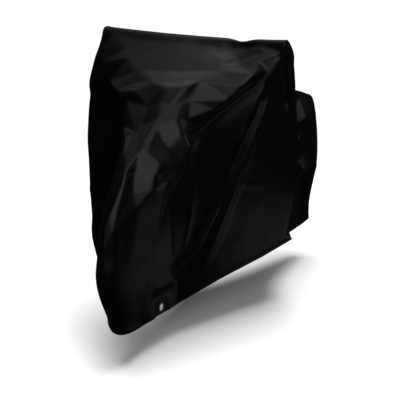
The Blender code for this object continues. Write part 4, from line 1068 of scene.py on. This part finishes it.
# ---------------------------------------------------------------- finishes

def add_node(owner, kind, inputs, **settings):
    """Add a shader node. Each input gets a value, or is linked to the socket that feeds it."""
    made = owner.node_tree.nodes.new("ShaderNode" + kind)
    for name, value in settings.items():
        setattr(made, name, value)
    feed(owner, made, inputs)
    return made


def feed(owner, made, inputs):
    """Set the inputs of a shader node, or link them."""
    for name, value in inputs.items():
        if isinstance(value, bpy.types.NodeSocket):
            owner.node_tree.links.new(value, made.inputs[name])
        else:
            made.inputs[name].default_value = value


def new_finish(name):
    """A material with one Principled shader."""
    material = bpy.data.materials.new(name)
    material.use_nodes = True
    return material


def dress(material, inputs):
    """Set the named inputs of a material's shader."""
    feed(material, material.node_tree.nodes["Principled BSDF"], inputs)
    return material


def on_object(material):
    """The place on the piece, in its own coordinates."""
    return add_node(material, "TexCoord", {}).outputs["Object"]


def speckle(material, place, scale, detail):
    """Uneven noise, finer as the scale grows."""
    made = add_node(material, "TexNoise", {"Vector": place, "Scale": scale, "Detail": detail})
    return made.outputs["Fac"]


def weave(material, place, directions, scale, distortion):
    """Warp and weft: two sets of bands that cross."""
    warp, weft = (
        add_node(material, "TexWave", {"Vector": place, "Scale": scale, "Distortion": distortion},
                 bands_direction=direction).outputs["Fac"] for direction in directions)
    return add_node(material, "Math", {0: warp, 1: weft}, operation="MULTIPLY").outputs[0]


def ramp(material, factor, first, last, stops=(0.0, 1.0)):
    """A colour that goes from the first to the last between two stops of the factor."""
    made = add_node(material, "ValToRGB", {"Fac": factor})
    for element, colour, stop in zip(made.color_ramp.elements, (first, last), stops):
        element.color = (*colour, 1)
        element.position = stop
    return made.outputs["Color"]


def spread(material, factor, low, high):
    """A number between low and high that follows the factor."""
    return add_node(material, "MapRange", {"Value": factor, "To Min": low, "To Max": high}).outputs[0]


def bump(material, height, strength, distance, under=None):
    """A bumped normal, laid over the one under it."""
    inputs = {"Height": height, "Strength": strength, "Distance": distance}
    if under is not None:
        inputs["Normal"] = under
    return add_node(material, "Bump", inputs).outputs[0]


def shades(colour, dark, light):
    """A darker and a lighter shade of a colour."""
    return [[c * share for c in colour] for share in (dark, light)]


def cloth_finish(name):
    """Tightly woven polyester with a thin waterproof coating."""
    material = new_finish(name)
    cross = weave(material, add_node(material, "UVMap", {}, uv_map="cloth").outputs[0], "XY", 520, 0.6)
    place = on_object(material)
    crumpled = bump(material, speckle(material, place, 38, 5), 0.25, 0.002)
    mottle = speckle(material, place, 5, 4)
    return dress(material, {
        "Base Color": ramp(material, cross, *shades(COATED_BLACK, 0.75, 1.25)),
        "Specular IOR Level": CLOTH_SHEEN,
        "Roughness": spread(material, mottle, CLOTH_ROUGHNESS - 0.06, CLOTH_ROUGHNESS + 0.06),
        "Normal": bump(material, cross, 0.35, 0.0002, crumpled),
    })


def tab_finish(name):
    """Two layers of the cloth sewn together: a coarser weave and less sheen."""
    material = new_finish(name)
    place = on_object(material)
    cross = weave(material, place, "YZ", 380, 0.5)
    return dress(material, {
        "Base Color": ramp(material, cross, *shades(DOUBLED_BLACK, 0.7, 1.4)),
        "Specular IOR Level": CLOTH_SHEEN,
        "Roughness": spread(material, speckle(material, place, 60, 4), 0.44, 0.62),
        "Normal": bump(material, cross, 0.5, 0.0003),
    })


def thread_finish(name):
    """Black sewing thread, with its twist."""
    material = new_finish(name)
    twist = add_node(material, "TexWave", {"Vector": on_object(material), "Scale": 900},
                     bands_direction="DIAGONAL").outputs["Fac"]
    return dress(material, {
        "Base Color": ramp(material, twist, (0.006, 0.006, 0.006), (0.022, 0.022, 0.023)),
        "Roughness": 0.55,
        "Normal": bump(material, twist, 0.4, 0.0001),
    })


def enamel_finish(name):
    """Black enamel on a rolled eyelet, rubbed to bare metal in a few small places."""
    material = new_finish(name)
    rub = speckle(material, on_object(material), 420, 6)
    bare = ramp(material, rub, (0, 0, 0), (1, 1, 1), RUBBED_THROUGH)
    tone = add_node(material, "MixRGB", {"Fac": bare, "Color1": (*ENAMEL, 1), "Color2": (*BARE_METAL, 1)})
    return dress(material, {
        "Base Color": tone.outputs[0],
        "Metallic": bare,
        "Roughness": spread(material, rub, 0.22, 0.46),
        "Normal": bump(material, rub, 0.15, 0.0001),
    })


def take_place(piece, finish, slot, *nodes):
    """Give a piece its finish, and let it ride in place of its solids. The slot is not used."""
    piece.data.materials.clear()
    piece.data.materials.append(finish)
    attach(piece, "root")
    if nodes:
        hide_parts(*nodes)


# ---------------------------------------------------------------- the scene

floor = lay_floor()
hang_lamps()
light_floor(floor)
paint_room()
place_camera()
cloth = cloth_finish("coated_black_polyester")
doubled = tab_finish("doubled_black_polyester")
thread = thread_finish("black_thread")
enamel = enamel_finish("rubbed_black_enamel")

across, gusset_surface = gusset_grid()
hem_rows = (LINE_ROWS < LINE_ROWS[HEM_LINES]) | (LINE_ROWS > LINE_ROWS[-HEM_LINES - 1])
gusset_hem = np.repeat(hem_rows[:, None], len(across), axis=1)
gusset = sheet_piece("gusset_cloth", gusset_surface, True, gusset_hem)
take_place(gusset, cloth, "gusset_cloth", "gusset")
outs = normals_of(gusset_surface, True)
sewn_rows = []
for way in (1, -1):
    sewn_rows.append(beside_edge(gusset_surface[:, ::way], outs[:, ::way], SEAM_STITCH_LINE))
    lines, normals = gusset_surface[::way].swapaxes(0, 1), outs[::way].swapaxes(0, 1)
    sewn_rows.append(beside_edge(lines, normals, HEM_STITCH_LINE))
gusset_stitches = stitch_piece("gusset_stitches", sewn_rows)
take_place(gusset_stitches, thread, "gusset_cloth")

for side in ("left", "right"):
    down, surface = panel_grid(side)
    hem_columns = np.arange(down.shape[1]) >= down.shape[1] - HEM_LINES
    mask = np.repeat(hem_columns[None, :], len(LINE_ROWS), axis=0)
    panel = sheet_piece("side_" + side + "_cloth", surface, side == "left", mask)
    cut_through(panel, tab_slab("notch", side, GAP, NOTCH_FOOT, NOTCH_REACH))
    take_place(panel, cloth, "side_cloth", "side_" + side)
    outs = normals_of(surface, side == "left")
    hem_row = beside_edge(surface[:, ::-1], outs[:, ::-1], HEM_STITCH_LINE)
    panel_stitches = stitch_piece("side_" + side + "_stitches", [hem_row], off_the_tab(side))
    take_place(panel_stitches, thread, "side_cloth")

    patch = tab_slab("tab_" + side + "_cloth", side, 0, 0, 0)
    cut_through(patch, round_cutter(side, EYELET_BARREL + GAP))
    rounded = patch.modifiers.new("worn edges", "BEVEL")
    rounded.width = WORN_EDGE
    rounded.segments = 2
    rounded.limit_method = "ANGLE"
    take_place(patch, doubled, "tab_cloth", "eyelet_tab_" + side)
    tab_rows = [tab_line(side, inset) for inset in TAB_STITCH_INSETS]
    tab_stitches = stitch_piece("tab_" + side + "_stitches", tab_rows)
    take_place(tab_stitches, thread, "tab_cloth")
    eyelet = eyelet_piece(side)
    take_place(eyelet, enamel, "eyelet_enamel", "eyelet_" + side)
